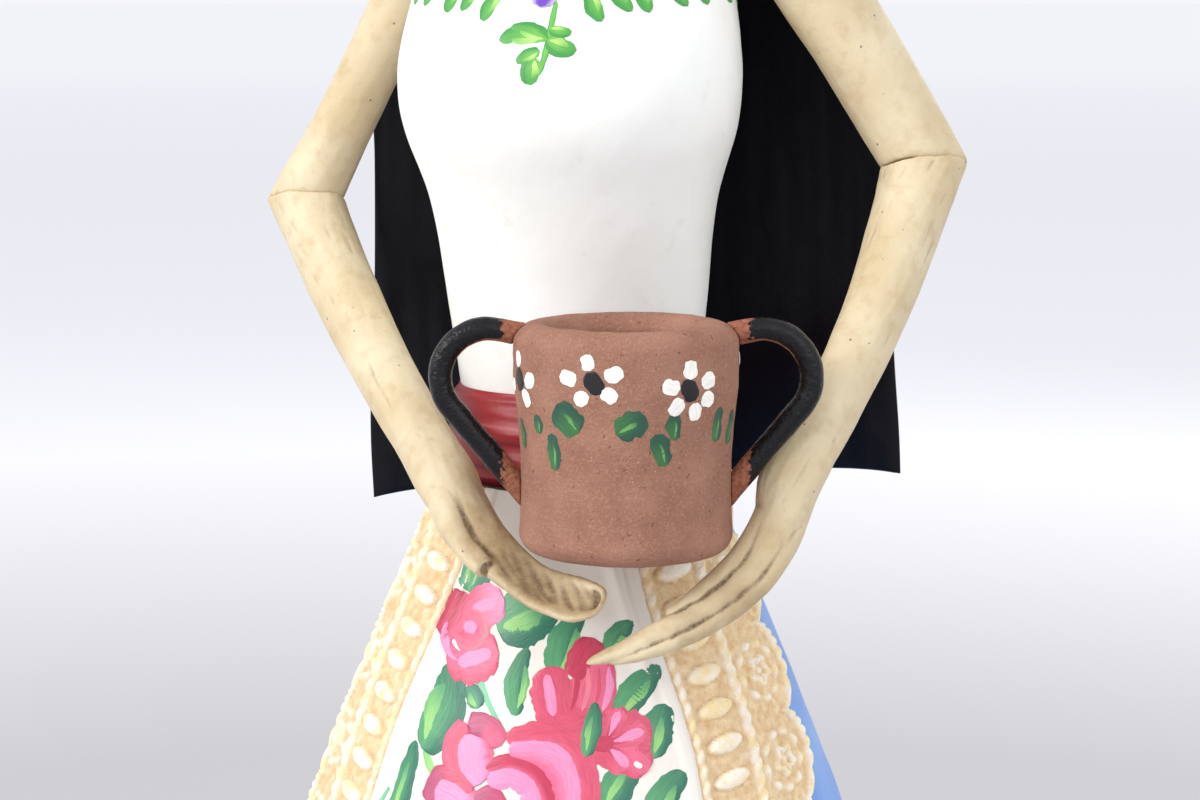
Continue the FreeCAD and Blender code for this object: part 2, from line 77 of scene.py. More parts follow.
def lumps(point, scale, seed=0.0):
    """Smooth noise of about -1 to 1 that varies over scale millimetres."""
    return noise.noise(Vector(point) / (scale * MM) + Vector((seed, seed * 1.7, seed * 0.3)))


BONE_LIGHT, BONE_MID, BONE_DARK = paint(222, 208, 176), paint(206, 186, 148), paint(96, 74, 50)
WHITE = paint(250, 247, 240)
CRIMSON, CRIMSON_SOFT, MAGENTA = paint(196, 62, 92), paint(216, 86, 114), paint(184, 84, 120)
ROSE, SALMON, PINK = paint(228, 104, 136), paint(234, 130, 146), paint(240, 148, 192)
PALE_PINK, LILAC_PINK = paint(250, 212, 222), paint(226, 138, 192)
LEAF_DARK, LEAF_MID, LEAF_LIGHT = paint(44, 112, 92), paint(88, 160, 112), paint(150, 208, 124)
MINT = paint(128, 200, 160)
INK, VIOLET = paint(22, 22, 26), paint(112, 74, 190)
YELLOW, SKY = paint(240, 196, 60), paint(80, 140, 220)
POT_GREEN, POT_DARK, POT_LIGHT = paint(58, 112, 66), paint(38, 82, 66), paint(110, 168, 92)
SPRIG, SPRIG_DARK, SPRIG_LIGHT = paint(110, 188, 84), paint(66, 150, 74), paint(186, 222, 128)


# ---------------------------------------------------------------- meshes

def make_object(name, points, faces):
    mesh = bpy.data.meshes.new(name)
    mesh.from_pydata([tuple(point) for point in points], [], faces)
    mesh.validate()
    mesh.polygons.foreach_set("use_smooth", [True] * len(mesh.polygons))
    made = bpy.data.objects.new(name, mesh)
    bpy.context.scene.collection.objects.link(made)
    return made


def grid_faces(rows, columns, closed=False, first=0):
    faces = []
    for row in range(rows - 1):
        for column in range(columns if closed else columns - 1):
            start, across = first + row * columns, (column + 1) % columns
            faces.append((start + column, start + across, start + columns + across, start + columns + column))
    return faces


def shell_object(name, outer, inner, closed=False):
    """Closed thin shell between two grids of points with the same rows and columns."""
    rows, columns = len(outer), len(outer[0])
    points = [point for row in outer for point in row] + [point for row in inner for point in row]
    offset = rows * columns
    faces = grid_faces(rows, columns, closed)
    faces += [tuple(reversed(face)) for face in grid_faces(rows, columns, closed, offset)]
    top = (rows - 1) * columns
    for column in range(columns if closed else columns - 1):
        across = (column + 1) % columns
        faces.append((column, offset + column, offset + across, across))
        faces.append((top + column, top + across, offset + top + across, offset + top + column))
    if not closed:
        for row in range(rows - 1):
            here, above = row * columns, (row + 1) * columns
            faces.append((here, above, offset + above, offset + here))
            end, end_above = here + columns - 1, above + columns - 1
            faces.append((end, offset + end, offset + end_above, end_above))
    return face_outwards(make_object(name, points, faces))


def tube_object(name, rings):
    """Closed tube through rings of points, with its ends filled."""
    columns = len(rings[0])
    points = [point for ring in rings for point in ring]
    faces = grid_faces(len(rings), columns, True)
    for row, turn in ((0, -1), (len(rings) - 1, 1)):
        points.append(sum((Vector(point) for point in rings[row]), Vector()) / columns)
        for column in range(columns):
            edge = (row * columns + column, row * columns + (column + 1) % columns)
            faces.append((*edge[::turn], len(points) - 1))
    return face_outwards(make_object(name, points, faces))


def face_outwards(piece):
    work = bmesh.new()
    work.from_mesh(piece.data)
    bmesh.ops.recalc_face_normals(work, faces=work.faces)
    work.to_mesh(piece.data)
    work.free()
    return piece


def apply_modifiers(piece):
    bpy.context.view_layer.update()
    shown = piece.evaluated_get(bpy.context.evaluated_depsgraph_get())
    mesh = bpy.data.meshes.new_from_object(shown)
    piece.modifiers.clear()
    piece.data = mesh
    mesh.polygons.foreach_set("use_smooth", [True] * len(mesh.polygons))
    return piece


def remesh(piece, voxel, rounds=2, factor=0.5):
    """Melts a piece's overlapping lumps into one skin and smooths it."""
    melt = piece.modifiers.new("melt", "REMESH")
    melt.mode = "VOXEL"
    melt.voxel_size = voxel * MM
    apply_modifiers(piece)
    if rounds:
        calm = piece.modifiers.new("calm", "SMOOTH")
        calm.iterations, calm.factor = rounds, factor
        apply_modifiers(piece)
    return piece


def spots(piece):
    found = np.zeros(len(piece.data.vertices) * 3)
    piece.data.vertices.foreach_get("co", found)
    return found.reshape(-1, 3)


def set_spots(piece, found):
    piece.data.vertices.foreach_set("co", np.asarray(found, float).ravel())
    piece.data.update()
    return piece


def normals(piece):
    found = np.zeros(len(piece.data.vertices) * 3)
    piece.data.vertices.foreach_get("normal", found)
    return found.reshape(-1, 3)


def roughen(piece, *layers, along=None):
    """Moves each point along its normal by layers of (height, scale) lumps, for a hand-made surface. With
    along, a direction, the lumps are drawn out into ridges that run that way."""
    found, away = spots(piece), normals(piece)
    where = found
    if along is not None:
        along = np.array(Vector(along).normalized())
        where = found - np.outer(found @ along, along) * 0.78
    for number, (height, scale) in enumerate(layers):
        amount = np.array([lumps(point, scale, 3.1 * number) for point in where])
        found = found + away * (amount * height * MM)[:, None]
    return set_spots(piece, found)


def hollows(piece, spread, depth):
    """0 to 1 at each point: how far it lies below its surroundings, where a thin wash gathers and painted
    shade is laid.
    """
    found = spots(piece)
    ends = np.zeros(len(piece.data.edges) * 2, int)
    piece.data.edges.foreach_get("vertices", ends)
    ends = ends.reshape(-1, 2)
    count = np.bincount(ends.ravel(), minlength=len(found)).clip(1)[:, None]
    around = found.copy()
    for _ in range(spread):
        total = np.zeros_like(around)
        np.add.at(total, ends[:, 0], around[ends[:, 1]])
        np.add.at(total, ends[:, 1], around[ends[:, 0]])
        around = total / count
    sunk = ((around - found) * normals(piece)).sum(1)
    return np.clip(sunk / (depth * MM), 0, 1)


def mark(piece, name, values):
    """Stores one number or colour per point, for a material to read."""
    values = np.asarray(values, float)
    if values.ndim == 1:
        values = np.repeat(values[:, None], 4, 1)
    layer = piece.data.color_attributes.new(name, "FLOAT_COLOR", "POINT")
    layer.data.foreach_set("color", values.ravel())
    return piece


def gathered(pieces):
    """Points and faces of some pieces, in one list each."""
    points, faces = [], []
    for piece in pieces:
        offset = len(points)
        points += [vertex.co.copy() for vertex in piece.data.vertices]
        faces += [tuple(offset + i for i in face.vertices) for face in piece.data.polygons]
    return points, faces


def tree_of(*pieces):
    return BVHTree.FromPolygons(*gathered(pieces))


def nodes(*names):
    return [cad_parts[name] for name in names]


def finish_piece(piece, material, body="figure", replaced=()):
    piece.data.materials.clear()
    piece.data.materials.append(material)
    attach(piece, body)
    if replaced:
        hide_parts(*replaced)
    return piece


# ---------------------------------------------------------------- materials

class Surface:
    """A node material in the making: each method adds one thing that the real surface shows."""

    def __init__(self, name, roughness, specular=0.4):
        self.material = bpy.data.materials.new(name)
        self.material.use_nodes = True
        self.tree = self.material.node_tree
        self.shader = self.tree.nodes["Principled BSDF"]
        self.shader.inputs["Roughness"].default_value = roughness
        self.shader.inputs["Specular IOR Level"].default_value = specular
        self.place = self.add("ShaderNodeTexCoord").outputs["Object"]
        self.bump = None

    def add(self, kind, **values):
        node = self.tree.nodes.new(kind)
        for key, value in values.items():
            if key in node.inputs:
                node.inputs[key].default_value = value
            else:
                setattr(node, key.lower(), value)
        return node

    def link(self, start, finish):
        self.tree.links.new(start, finish)

    def grain(self, scale, detail=4.0, stretch=None):
        """Noise whose spots are about scale millimetres wide."""
        node = self.add("ShaderNodeTexNoise", Scale=1 / (scale * MM), Detail=detail)
        self.link(self.stretched(stretch), node.inputs["Vector"])
        return node.outputs["Fac"]

    def cells(self, scale):
        node = self.add("ShaderNodeTexVoronoi", Scale=1 / (scale * MM))
        self.link(self.place, node.inputs["Vector"])
        return node.outputs["Distance"]

    def stretched(self, stretch):
        if stretch is None:
            return self.place
        node = self.add("ShaderNodeMapping")
        node.inputs["Scale"].default_value = stretch
        self.link(self.place, node.inputs["Vector"])
        return node.outputs["Vector"]

    def band(self, value, low, high):
        """0 below low, 1 above high."""
        node = self.add("ShaderNodeMapRange", clamp=True)
        node.inputs["From Min"].default_value = low
        node.inputs["From Max"].default_value = high
        self.link(value, node.inputs["Value"])
        return node.outputs["Result"]

    def times(self, first, second):
        node = self.add("ShaderNodeMath", operation="MULTIPLY")
        for socket, value in zip(node.inputs, (first, second)):
            if isinstance(value, (int, float)):
                socket.default_value = value
            else:
                self.link(value, socket)
        return node.outputs["Value"]

    def blend(self, share, first, second):
        """Colour between first and second by share; each is a colour or another blend."""
        node = self.add("ShaderNodeMix", data_type="RGBA")
        for socket, value in ((node.inputs[0], share), (node.inputs[6], first), (node.inputs[7], second)):
            if isinstance(value, (int, float)):
                socket.default_value = value
            elif isinstance(value, (tuple, list, np.ndarray)):
                socket.default_value = tuple(value)
            else:
                self.link(value, socket)
        return node.outputs[2]

    def marked(self, name):
        return self.add("ShaderNodeVertexColor", layer_name=name).outputs["Color"]

    def marked_amount(self, name):
        split = self.add("ShaderNodeSeparateColor")
        self.link(self.marked(name), split.inputs["Color"])
        return split.outputs["Red"]

    def colour(self, value):
        if isinstance(value, (tuple, np.ndarray)):
            self.shader.inputs["Base Color"].default_value = tuple(value)
        else:
            self.link(value, self.shader.inputs["Base Color"])
        return self

    def rough(self, value, low, high):
        node = self.add("ShaderNodeMapRange", clamp=True)
        node.inputs["To Min"].default_value = low
        node.inputs["To Max"].default_value = high
        self.link(value, node.inputs["Value"])
        self.link(node.outputs["Result"], self.shader.inputs["Roughness"])
        return self

    def relief(self, value, height, strength=1.0):
        """Bump of height millimetres, laid over any earlier one."""
        node = self.add("ShaderNodeBump", Distance=height * MM, Strength=strength)
        self.link(value, node.inputs["Height"])
        if self.bump is not None:
            self.link(self.bump, node.inputs["Normal"])
        self.bump = node.outputs["Normal"]
        self.link(self.bump, self.shader.inputs["Normal"])
        return self


def bone_surface():
    """Cream paint over paper, rubbed with a thin brown wash that stays in the creases, where painted shade
    darkens them as well; painted shade also browns the palms.
    """
    look = Surface("bone_paint", 0.5)
    base = look.blend(look.band(look.grain(12, 4), 0.35, 0.7), BONE_MID, BONE_LIGHT)
    smears = look.grain(2.4, 7)
    base = look.blend(look.times(look.band(smears, 0.5, 0.72), 0.3), base, paint(176, 144, 96))
    streaks = look.band(look.grain(1.1, 5), 0.25, 0.75)
    # Painted shade: the marked palms and low parts of the hands turn a streaky brown.
    painted_hand_shade = look.times(look.marked_amount("shade"), look.blend(0.6, streaks, (1, 1, 1, 1)))
    base = look.blend(look.times(painted_hand_shade, 0.8), base, paint(148, 118, 78))
    # Brown wash and painted shade: the marked hollows turn dark brown.
    wash = look.marked_amount("wash")
    broken = look.band(look.grain(0.45, 6), 0.2, 0.65)
    base = look.blend(look.times(wash, look.blend(0.4, broken, (1, 1, 1, 1))), base, BONE_DARK)
    flecks = look.times(look.band(look.grain(0.5, 3), 0.68, 0.74), look.band(look.grain(5, 2), 0.5, 0.7))
    base = look.blend(look.times(flecks, 0.6), base, paint(84, 66, 46))
    dots = look.band(look.cells(3.6), 0.055, 0.03)
    look.colour(look.blend(look.times(dots, 0.8), base, paint(70, 62, 60)))
    look.rough(smears, 0.4, 0.62)
    look.relief(look.grain(0.3, 6), 0.05).relief(look.grain(1.6, 5), 0.12)
    return look.material


def gesso_surface(name, light, dark, stain=None):
    """Satin paint brushed on paper: faint brush lines, soft lumps and a few stains."""
    look = Surface(name, 0.42)
    base = look.blend(look.band(look.grain(16, 3), 0.35, 0.7), dark, light)
    if stain is not None:
        specks = look.band(look.grain(3.4, 5), 0.63, 0.8)
        base = look.blend(look.times(specks, 0.35), base, stain)
    look.colour(base)
    look.rough(look.grain(5, 4), 0.34, 0.52)
    look.relief(look.grain(0.5, 5), 0.02).relief(look.grain(5, 3, (1, 1, 0.5)), 0.22)
    return look.material


def brushed_surface():
    """Artist's paint laid in strokes: the colour is marked on each point and streaks run along it."""
    look = Surface("brushed_paint", 0.38)
    streak_place = look.add("ShaderNodeUVMap", uv_map="stroke").outputs["UV"]
    streaks = look.add("ShaderNodeTexNoise", Scale=1.0, Detail=4.0)
    look.link(streak_place, streaks.inputs["Vector"])
    thin = look.band(streaks.outputs["Fac"], 0.3, 0.72)
    base = look.marked("paint")
    shade = look.add("ShaderNodeMix", data_type="RGBA", blend_type="MULTIPLY")
    shade.inputs[0].default_value = 0.55
    look.link(base, shade.inputs[6])
    look.link(look.blend(thin, (0.72, 0.72, 0.72, 1), (1.18, 1.18, 1.18, 1)), shade.inputs[7])
    look.colour(shade.outputs[2])
    look.relief(streaks.outputs["Fac"], 0.06)
    return look.material


def lace_surface():
    """Cotton lace stiffened with paste, then rubbed with a golden wash; its low places turn darker tan, from
    the wash and from painted shade.
    """
    look = Surface("stiff_lace", 0.72, 0.25)
    # Darker tan in the low places: golden wash and painted shade.
    low = look.marked_amount("wash")
    sandy = look.blend(look.band(look.grain(1.2, 4), 0.3, 0.7), paint(216, 180, 132), paint(238, 216, 178))
    gold = look.blend(look.band(look.grain(2.6, 3), 0.42, 0.62), paint(250, 243, 228), paint(248, 226, 176))
    base = look.blend(low, gold, sandy)
    look.colour(look.blend(look.times(look.band(look.grain(0.35, 4), 0.6, 0.7), 0.3), base,
                           paint(186, 140, 92)))
    weave = look.add("ShaderNodeTexVoronoi", Scale=1 / (0.42 * MM))
    look.link(look.place, weave.inputs["Vector"])
    look.relief(weave.outputs["Distance"], 0.09).relief(look.grain(0.25, 5), 0.05)
    return look.material


def hair_surface():
    """Glossy black paint over paper strands."""
    look = Surface("black_lacquer", 0.3, 0.16)
    look.colour(look.blend(look.grain(4, 4), paint(9, 9, 13), paint(20, 20, 28)))
    look.rough(look.grain(2.5, 6, (1, 1, 0.4)), 0.24, 0.42)
    look.relief(look.grain(0.8, 5, (1, 1, 0.3)), 0.05).relief(look.grain(6, 3), 0.3)
    return look.material


def clay_surface():
    """Unglazed sandy terracotta."""
    look = Surface("terracotta", 0.85, 0.25)
    base = look.blend(look.band(look.grain(6, 4), 0.35, 0.7), paint(147, 104, 86), paint(165, 121, 102))
    base = look.blend(look.times(look.band(look.grain(0.4, 5), 0.5, 0.68), 0.45), base, paint(182, 140, 120))
    base = look.blend(look.times(look.band(look.cells(1.3), 0.09, 0.05), 0.6), base, paint(208, 172, 146))
    base = look.blend(look.times(look.band(look.grain(0.7, 2), 0.68, 0.72), 0.7), base, paint(104, 64, 50))
    look.colour(base)
    look.relief(look.grain(0.26, 6), 0.16).relief(look.grain(1.1, 4), 0.12)
    look.relief(look.grain(0.9, 4, (0.08, 0.08, 1)), 0.1)
    return look.material


def handle_surface():
    """Terracotta coil with glossy black brushed over the outside, thin at its edges."""
    look = Surface("handle_black", 0.3, 0.28)
    black = look.marked_amount("wash")
    ragged = look.grain(0.6, 5)
    edge = look.add("ShaderNodeMath", operation="ADD")
    look.link(black, edge.inputs[0])
    look.link(look.times(look.band(ragged, 0.3, 0.7), 0.3), edge.inputs[1])
    covered = look.band(edge.outputs["Value"], 0.6, 0.68)
    clay = look.blend(look.band(look.grain(0.5, 5), 0.35, 0.7), paint(128, 76, 58), paint(166, 108, 82))
    look.colour(look.blend(covered, clay, paint(11, 12, 16)))
    rough = look.add("ShaderNodeMapRange")
    rough.inputs["To Min"].default_value = 0.85
    rough.inputs["To Max"].default_value = 0.18
    look.link(covered, rough.inputs["Value"])
    look.link(rough.outputs["Result"], look.shader.inputs["Roughness"])
    look.relief(look.grain(0.6, 5), 0.2).relief(look.grain(0.25, 5), 0.06)
    return look.material


def marked_surface(name, roughness, grain=0.4, bump=0.04):
    """Paint whose colour is marked on each point, with a fine uneven tooth."""
    look = Surface(name, roughness)
    shade = look.add("ShaderNodeMix", data_type="RGBA", blend_type="MULTIPLY")
    shade.inputs[0].default_value = 0.5
    look.link(look.marked("paint"), shade.inputs[6])
    look.link(look.blend(look.grain(grain * 4, 5), (0.74, 0.74, 0.74, 1), (1.14, 1.14, 1.14, 1)),
              shade.inputs[7])
    look.colour(shade.outputs[2])
    look.relief(look.grain(grain, 5), bump)
    return look.material


def board_surface():
    """Bare board with a fine grain."""
    look = Surface("bare_board", 0.75, 0.2)
    fibres = look.grain(2.5, 6, (0.12, 1.6, 1))
    look.colour(look.blend(look.band(fibres, 0.3, 0.7), paint(150, 112, 72), paint(196, 158, 112)))
    look.relief(fibres, 0.15)
    return look.material


def stock_surface(name, light, dark, roughness, scale, metallic=0.0):
    """Inner stock, such as card, newspaper or wire."""
    look = Surface(name, roughness, 0.3)
    look.shader.inputs["Metallic"].default_value = metallic
    look.colour(look.blend(look.band(look.grain(scale, 5), 0.35, 0.65), dark, light))
    look.relief(look.grain(scale / 2, 5), 0.08)
    return look.material




BONE = bone_surface()
BLOUSE = gesso_surface("blouse_white", paint(246, 248, 246), paint(240, 241, 237), paint(214, 204, 186))
APRON = gesso_surface("apron_white", paint(240, 237, 230), paint(230, 226, 216))
SKIRT = gesso_surface("skirt_blue", paint(124, 166, 226), paint(104, 148, 216))
BRUSHED, LACE, HAIR, CLAY, HANDLE = (brushed_surface(), lace_surface(), hair_surface(), clay_surface(),
                                     handle_surface())
SASH = marked_surface("sash_red", 0.42)
PETAL = marked_surface("rose_petal", 0.6, 0.6, 0.05)
LEAF = marked_surface("paper_leaf", 0.55, 0.5, 0.05)


# ---------------------------------------------------------------- places on the body

class Wrap:
    """The outside of some pieces seen from an upright axis: a place for every angle and height."""

    def __init__(self, pieces, axis=(0, 0), reach=90):
        self.tree, self.axis, self.reach = tree_of(*pieces), axis, reach

    def spot(self, angle, height, lift=0.0):
        turn = math.radians(angle)
        out = Vector((math.sin(turn), -math.cos(turn), 0))
        start = (Vector((*self.axis, height)) + out * self.reach) * MM
        found, normal, _, _ = self.tree.ray_cast(start, -out, self.reach * MM)
        if found is None:
            found, normal, _, _ = self.tree.find_nearest(start - out * self.reach * 0.8 * MM)
        return found + normal * (lift * MM)

    def flat(self, turn, radius):
        """Same places given as millimetres to the side of the angle turn, and height."""
        return lambda across, up, lift=0.0: self.spot(turn + math.degrees(across / radius), up, lift)


def skirt_curves():
    """Radius of the skirt's outside, and its slope, for any height, read off the solid."""
    bell = Wrap(nodes("skirt"))
    heights = np.linspace(3, 143, 29)
    radii = [Vector(bell.spot(4, height)).xy.length / MM for height in heights]
    curve = np.poly1d(np.polyfit(heights, radii, 4))
    return curve, curve.deriv()


SKIRT_RADIUS, SKIRT_SLOPE = skirt_curves()


def skirt_spot(angle, height, lift=0.0):
    """Place on the bell of the skirt, lift millimetres out from its paper, with the paper's unevenness."""
    turn = math.radians(angle)
    out = Vector((math.sin(turn), -math.cos(turn), 0))
    place = (out * SKIRT_RADIUS(height) + UP * height) * MM
    away = (out - UP * SKIRT_SLOPE(height)).normalized()
    wave = 0.35 * lumps(place, 19, 1) + 0.12 * lumps(place, 6, 2) - 0.15
    return place + away * ((lift + wave) * MM)


# ---------------------------------------------------------------- casting and painting

def cast(name, sources, voxel, rounds, layers, extras=(), along=None):
    """Copy of some solids melted into one hand-smoothed skin, with extra lumps joined on."""
    piece = make_object(name, *gathered([*nodes(*sources), *extras]))
    for extra in extras:
        bpy.data.objects.remove(extra)
    weld = piece.modifiers.new("weld", "WELD")
    weld.merge_threshold = 0.002 * MM
    apply_modifiers(piece)
    remesh(piece, voxel, rounds)
    return roughen(piece, *layers, along=along)


def wash_and_shade_hollows(piece, spread=5, depth=0.08, extra=None):
    """Marks the hollows, where brown wash has settled and painted shade darkens them."""
    wash = hollows(piece, spread, depth) ** 0.8
    if extra is not None:
        wash = np.clip(wash + np.array(extra), 0, 1)
    return mark(piece, "wash", wash)


WIDTHS = {
    "leaf": lambda s: math.sin(math.pi * s) ** 0.75,
    "petal": lambda s: math.sin(math.pi * s ** 1.5) ** 0.6,
    "blade": lambda s: math.sin(math.pi * s ** 0.85) ** 0.55,
    "round": lambda s: (1 - abs(2 * s - 1) ** 6) ** 0.5,
    "dab": lambda s: (1 - abs(2 * s - 1) ** 2.2) ** 0.5,
    "comma": lambda s: (1 - s) ** 0.6 * min(1.0, (s * 9) ** 0.5),
    "hair": lambda s: 1 - 0.6 * s,
}


def along(path, share):
    """Place at a share of the way along a smooth curve through the path's points."""
    spans = len(path) - 1
    number = min(int(share * spans), spans - 1)
    t = share * spans - number
    p = [np.array(path[min(max(number + step, 0), spans)], float) for step in (-1, 0, 1, 2)]
    return 0.5 * (2 * p[1] + (p[2] - p[0]) * t + (2 * p[0] - 5 * p[1] + 4 * p[2] - p[3]) * t ** 2
                  + (3 * p[1] - p[0] - 3 * p[2] + p[3]) * t ** 3)


class Brush:
    """Paint laid on one surface in strokes, each a little above the last. spot(across, up, lift) is a place
    on the surface, with across and up in millimetres."""

    def __init__(self, spot, lift=0.03):
        self.spot, self.lift = spot, lift
        self.points, self.faces, self.colours, self.grain = [], [], [], []

    def stroke(self, path, width, colour, tip=None, edge=None, right=None, shape="leaf", tooth=0.05):
        """Stroke of a width along a path. Its colour turns to tip at the end, to edge at both sides and to
        right along the right-hand side; tooth is how ragged the sides are."""
        tip = colour if tip is None else tip
        length = sum(np.hypot(*(np.array(b, float) - a)) for a, b in zip(path, path[1:]))
        rows = max(9, int(length / 0.4))
        columns, first, drift = 9, len(self.points), random.uniform(0, 90)
        for row in range(rows):
            share = row / (rows - 1)
            here = along(path, share)
            ahead = along(path, min(share + 0.02, 1)) - along(path, max(share - 0.02, 0))
            side = np.array((ahead[1], -ahead[0])) / max(np.hypot(*ahead), 1e-6)
            half = 0.5 * width * max(WIDTHS[shape](share), 0.02)
            for column in range(columns):
                t = 2 * column / (columns - 1) - 1
                ragged = 1 + tooth * noise.noise(Vector((share * length * 1.3, 9 * np.sign(t), drift))) * 4
                where = here + side * (half * t * ragged)
                self.points.append(self.spot(where[0], where[1], self.lift * (1 - 0.6 * t ** 6)))
                shade = mix(colour, tip, ease(share, 0.25, 0.95))
                if edge is not None:
                    shade = mix(shade, edge, ease(abs(t), 0.45, 0.95))
                if right is not None:
                    shade = mix(shade, right, ease(t, -0.1, 0.8))
                self.colours.append(shade)
                self.grain.append((drift + share * length * 0.5, t * half * 3.2))
        self.faces += grid_faces(rows, columns, first=first)
        self.lift += 0.002
        return self

    def dab(self, centre, size, colour, shape="dab", turn=0.0, squash=1.0, **more):
        """Short touch of the brush, longer than wide when squash is under 1."""
        away = np.array((math.cos(math.radians(turn)), math.sin(math.radians(turn)))) * size / 2
        middle = np.array(centre, float)
        return self.stroke([middle - away, middle, middle + away], size * squash, colour, shape=shape, **more)

    def ring(self, centre, size, start, sweep, width, colour, squash=1.0, **more):
        """Curved stroke round a centre, from the angle start through sweep degrees."""
        turns = [math.radians(start + sweep * share) for share in np.linspace(0, 1, 7)]
        path = [(centre[0] + size * math.cos(a), centre[1] + size * squash * math.sin(a)) for a in turns]
        return self.stroke(path, width, colour, **more)

    def leaf(self, root, point, width, bend=0.1, light=LEAF_LIGHT, mid=LEAF_MID, dark=LEAF_DARK):
        """Two-tone painted leaf, dark along one side, with a light streak laid wet into its middle."""
        root, point = np.array(root, float), np.array(point, float)
        reach = point - root
        aside = np.array((reach[1], -reach[0])) * bend
        self.stroke([root, root + reach * 0.5 + aside, point], width, mid, tip=mix(mid, dark, 0.7),
                    right=dark,
                    shape="blade")
        self.stroke([root + reach * 0.1, root + reach * 0.45 - aside * 0.4, root + reach * 0.75],
                    width * 0.45, light,
                    tip=mid, edge=mix(light, mid, 0.6), shape="leaf", tooth=0.1)
        return self

    def finish(self, name, slot, body="figure"):
        piece = make_object(name, self.points, self.faces)
        mark(piece, "paint", np.array(self.colours))
        layer = piece.data.uv_layers.new(name="stroke")
        corners = np.zeros(len(piece.data.loops), int)
        piece.data.loops.foreach_get("vertex_index", corners)
        layer.data.foreach_set("uv", np.array(self.grain)[corners].ravel())
        return finish_piece(piece, BRUSHED, body)


# ---------------------------------------------------------------- skirt, apron and lace

def make_skirt():
    heights = np.linspace(0.3, 146, 130)
    turns = np.linspace(0, 360, 260, endpoint=False)
    outer = [[skirt_spot(turn, height) for turn in turns] for height in heights]
    inner = [[skirt_spot(turn, height, -1.9) for turn in turns] for height in heights]
    finish_piece(shell_object("skirt_paper", outer, inner, True), SKIRT, replaced=("skirt",))


PANEL_TOP, PANEL_FOOT = 145.8, 26.0


def panel_edge(side, height):
    """Angle of the apron's edge at a height: close in under the sash, opening out over the hips."""
    upper, lower = (30.0, 39.0) if side < 0 else (33.0, 41.0)
    return upper + (lower - upper) * ease(PANEL_TOP - height, 6, 36) + 4 * ease(PANEL_TOP - height, 50, 118)


def make_apron():
    """White panel with a smooth raised band down each side and a soft fold by her left hip."""
    columns, heights = 150, np.linspace(PANEL_FOOT - 0.4, PANEL_TOP, 190)
    fold_low, fold_high = np.array((31.5, 122.0)), np.array((24.0, 137.0))

    def lift(angle, height, share):
        edge = min(share, 1 - share)
        radius = SKIRT_RADIUS(height)
        inward = edge * radius * math.radians(panel_edge(-1, height) + panel_edge(1, height))
        band = 0.4 * ease(inward, 0.0, 0.7) * (1 - ease(inward, 1.9, 2.5))
        reach = np.clip((height - fold_low[1]) / (fold_high - fold_low)[1], 0, 1)
        fold = angle - mix(fold_low, fold_high, reach)[0]
        ridge = 1.1 * math.exp(-(fold / 2.4) ** 2) * ease(height, 117, 125) * (1 - ease(height, 137, 143))
        return 0.85 + band + ridge

    outer, inner = [], []
    for height in heights:
        shares = np.linspace(0, 1, columns)
        turns = [mix(-panel_edge(-1, height), panel_edge(1, height), share) for share in shares]
        outer.append([skirt_spot(turn, height, lift(turn, height, share))
                      for turn, share in zip(turns, shares)])
        inner.append([skirt_spot(turn, height, 0.12) for turn in turns])
    piece = shell_object("apron_cloth", outer, inner)
    return finish_piece(piece, APRON, replaced=("apron_panel",))


def bloom(brush, centre, size=1.0, turn=0.0):
    """Large open rose: a broad crimson ring round pink, an inner curl, and loose petals on one side."""
    def at(*places):
        spin = math.radians(turn)
        return [(centre[0] + size * (x * math.cos(spin) - z * math.sin(spin)),
                 centre[1] + size * (x * math.sin(spin) + z * math.cos(spin))) for x, z in places]

    def lay(places, width, colour, **more):
        brush.stroke(at(*places), width * size, colour, **more)

    lay([(-2.0, 4.9), (3.0, 4.6), (6.0, 1.5), (6.6, -3.5), (4.0, -7.5)], 5.6, PINK, right=ROSE, shape="round")
    lay([(-3.4, -6.4), (0.5, -7.2), (4.4, -6.4)], 4.6, PINK, edge=ROSE, shape="round")
    lay([(-2.6, 6.2), (1.8, 6.9), (5.6, 6.2), (8.1, 2.8), (8.9, -2.6), (7.4, -6.8), (3.4, -9.2)], 3.3,
        CRIMSON_SOFT,
        right=ROSE, shape="round")
    lay([(-3.0, -8.4), (0.6, -9.4), (4.6, -8.6)], 2.2, CRIMSON_SOFT, shape="leaf")
    lay([(-4.6, 0.6), (-1.5, 1.7), (1.2, 0.2), (2.0, -2.8)], 3.2, PINK, shape="round")
    lay([(-5.0, 2.2), (-1.6, 3.2), (1.6, 2.1), (3.5, -0.4), (3.9, -3.6), (2.0, -6.2)], 2.4, CRIMSON,
        right=ROSE,
        shape="round")
    lay([(-5.8, -2.6), (-4.4, -1.0), (-2.6, -2.2), (-2.2, -4.6)], 2.6, MAGENTA, tip=CRIMSON_SOFT,
        shape="round")
    lay([(-3.4, -4.8), (-1.4, -4.2), (0.4, -2.0)], 1.6, PALE_PINK, shape="leaf")
    lay([(-7.4, 6.2), (-7.3, 3.0), (-5.6, 0.2)], 6.4, PINK, edge=ROSE, shape="round")
    lay([(-8.4, 7.4), (-10.2, 4.6), (-9.4, 1.4), (-6.6, -0.8)], 3.2, CRIMSON_SOFT, right=ROSE, shape="round")
    lay([(-8.2, 7.6), (-5.4, 7.4), (-3.2, 5.2)], 3.2, MAGENTA, tip=ROSE, shape="round")
    lay([(-12.2, -1.4), (-9.6, -1.8), (-6.6, -4.2)], 6.0, PINK, edge=ROSE, shape="round")
    lay([(-13.4, -3.0), (-11.8, 0.6), (-8.6, 0.6)], 2.6, MAGENTA, tip=CRIMSON_SOFT, shape="round")
    lay([(-9.4, -7.2), (-6.4, -6.2), (-3.8, -7.8)], 4.6, ROSE, edge=CRIMSON_SOFT, shape="round")


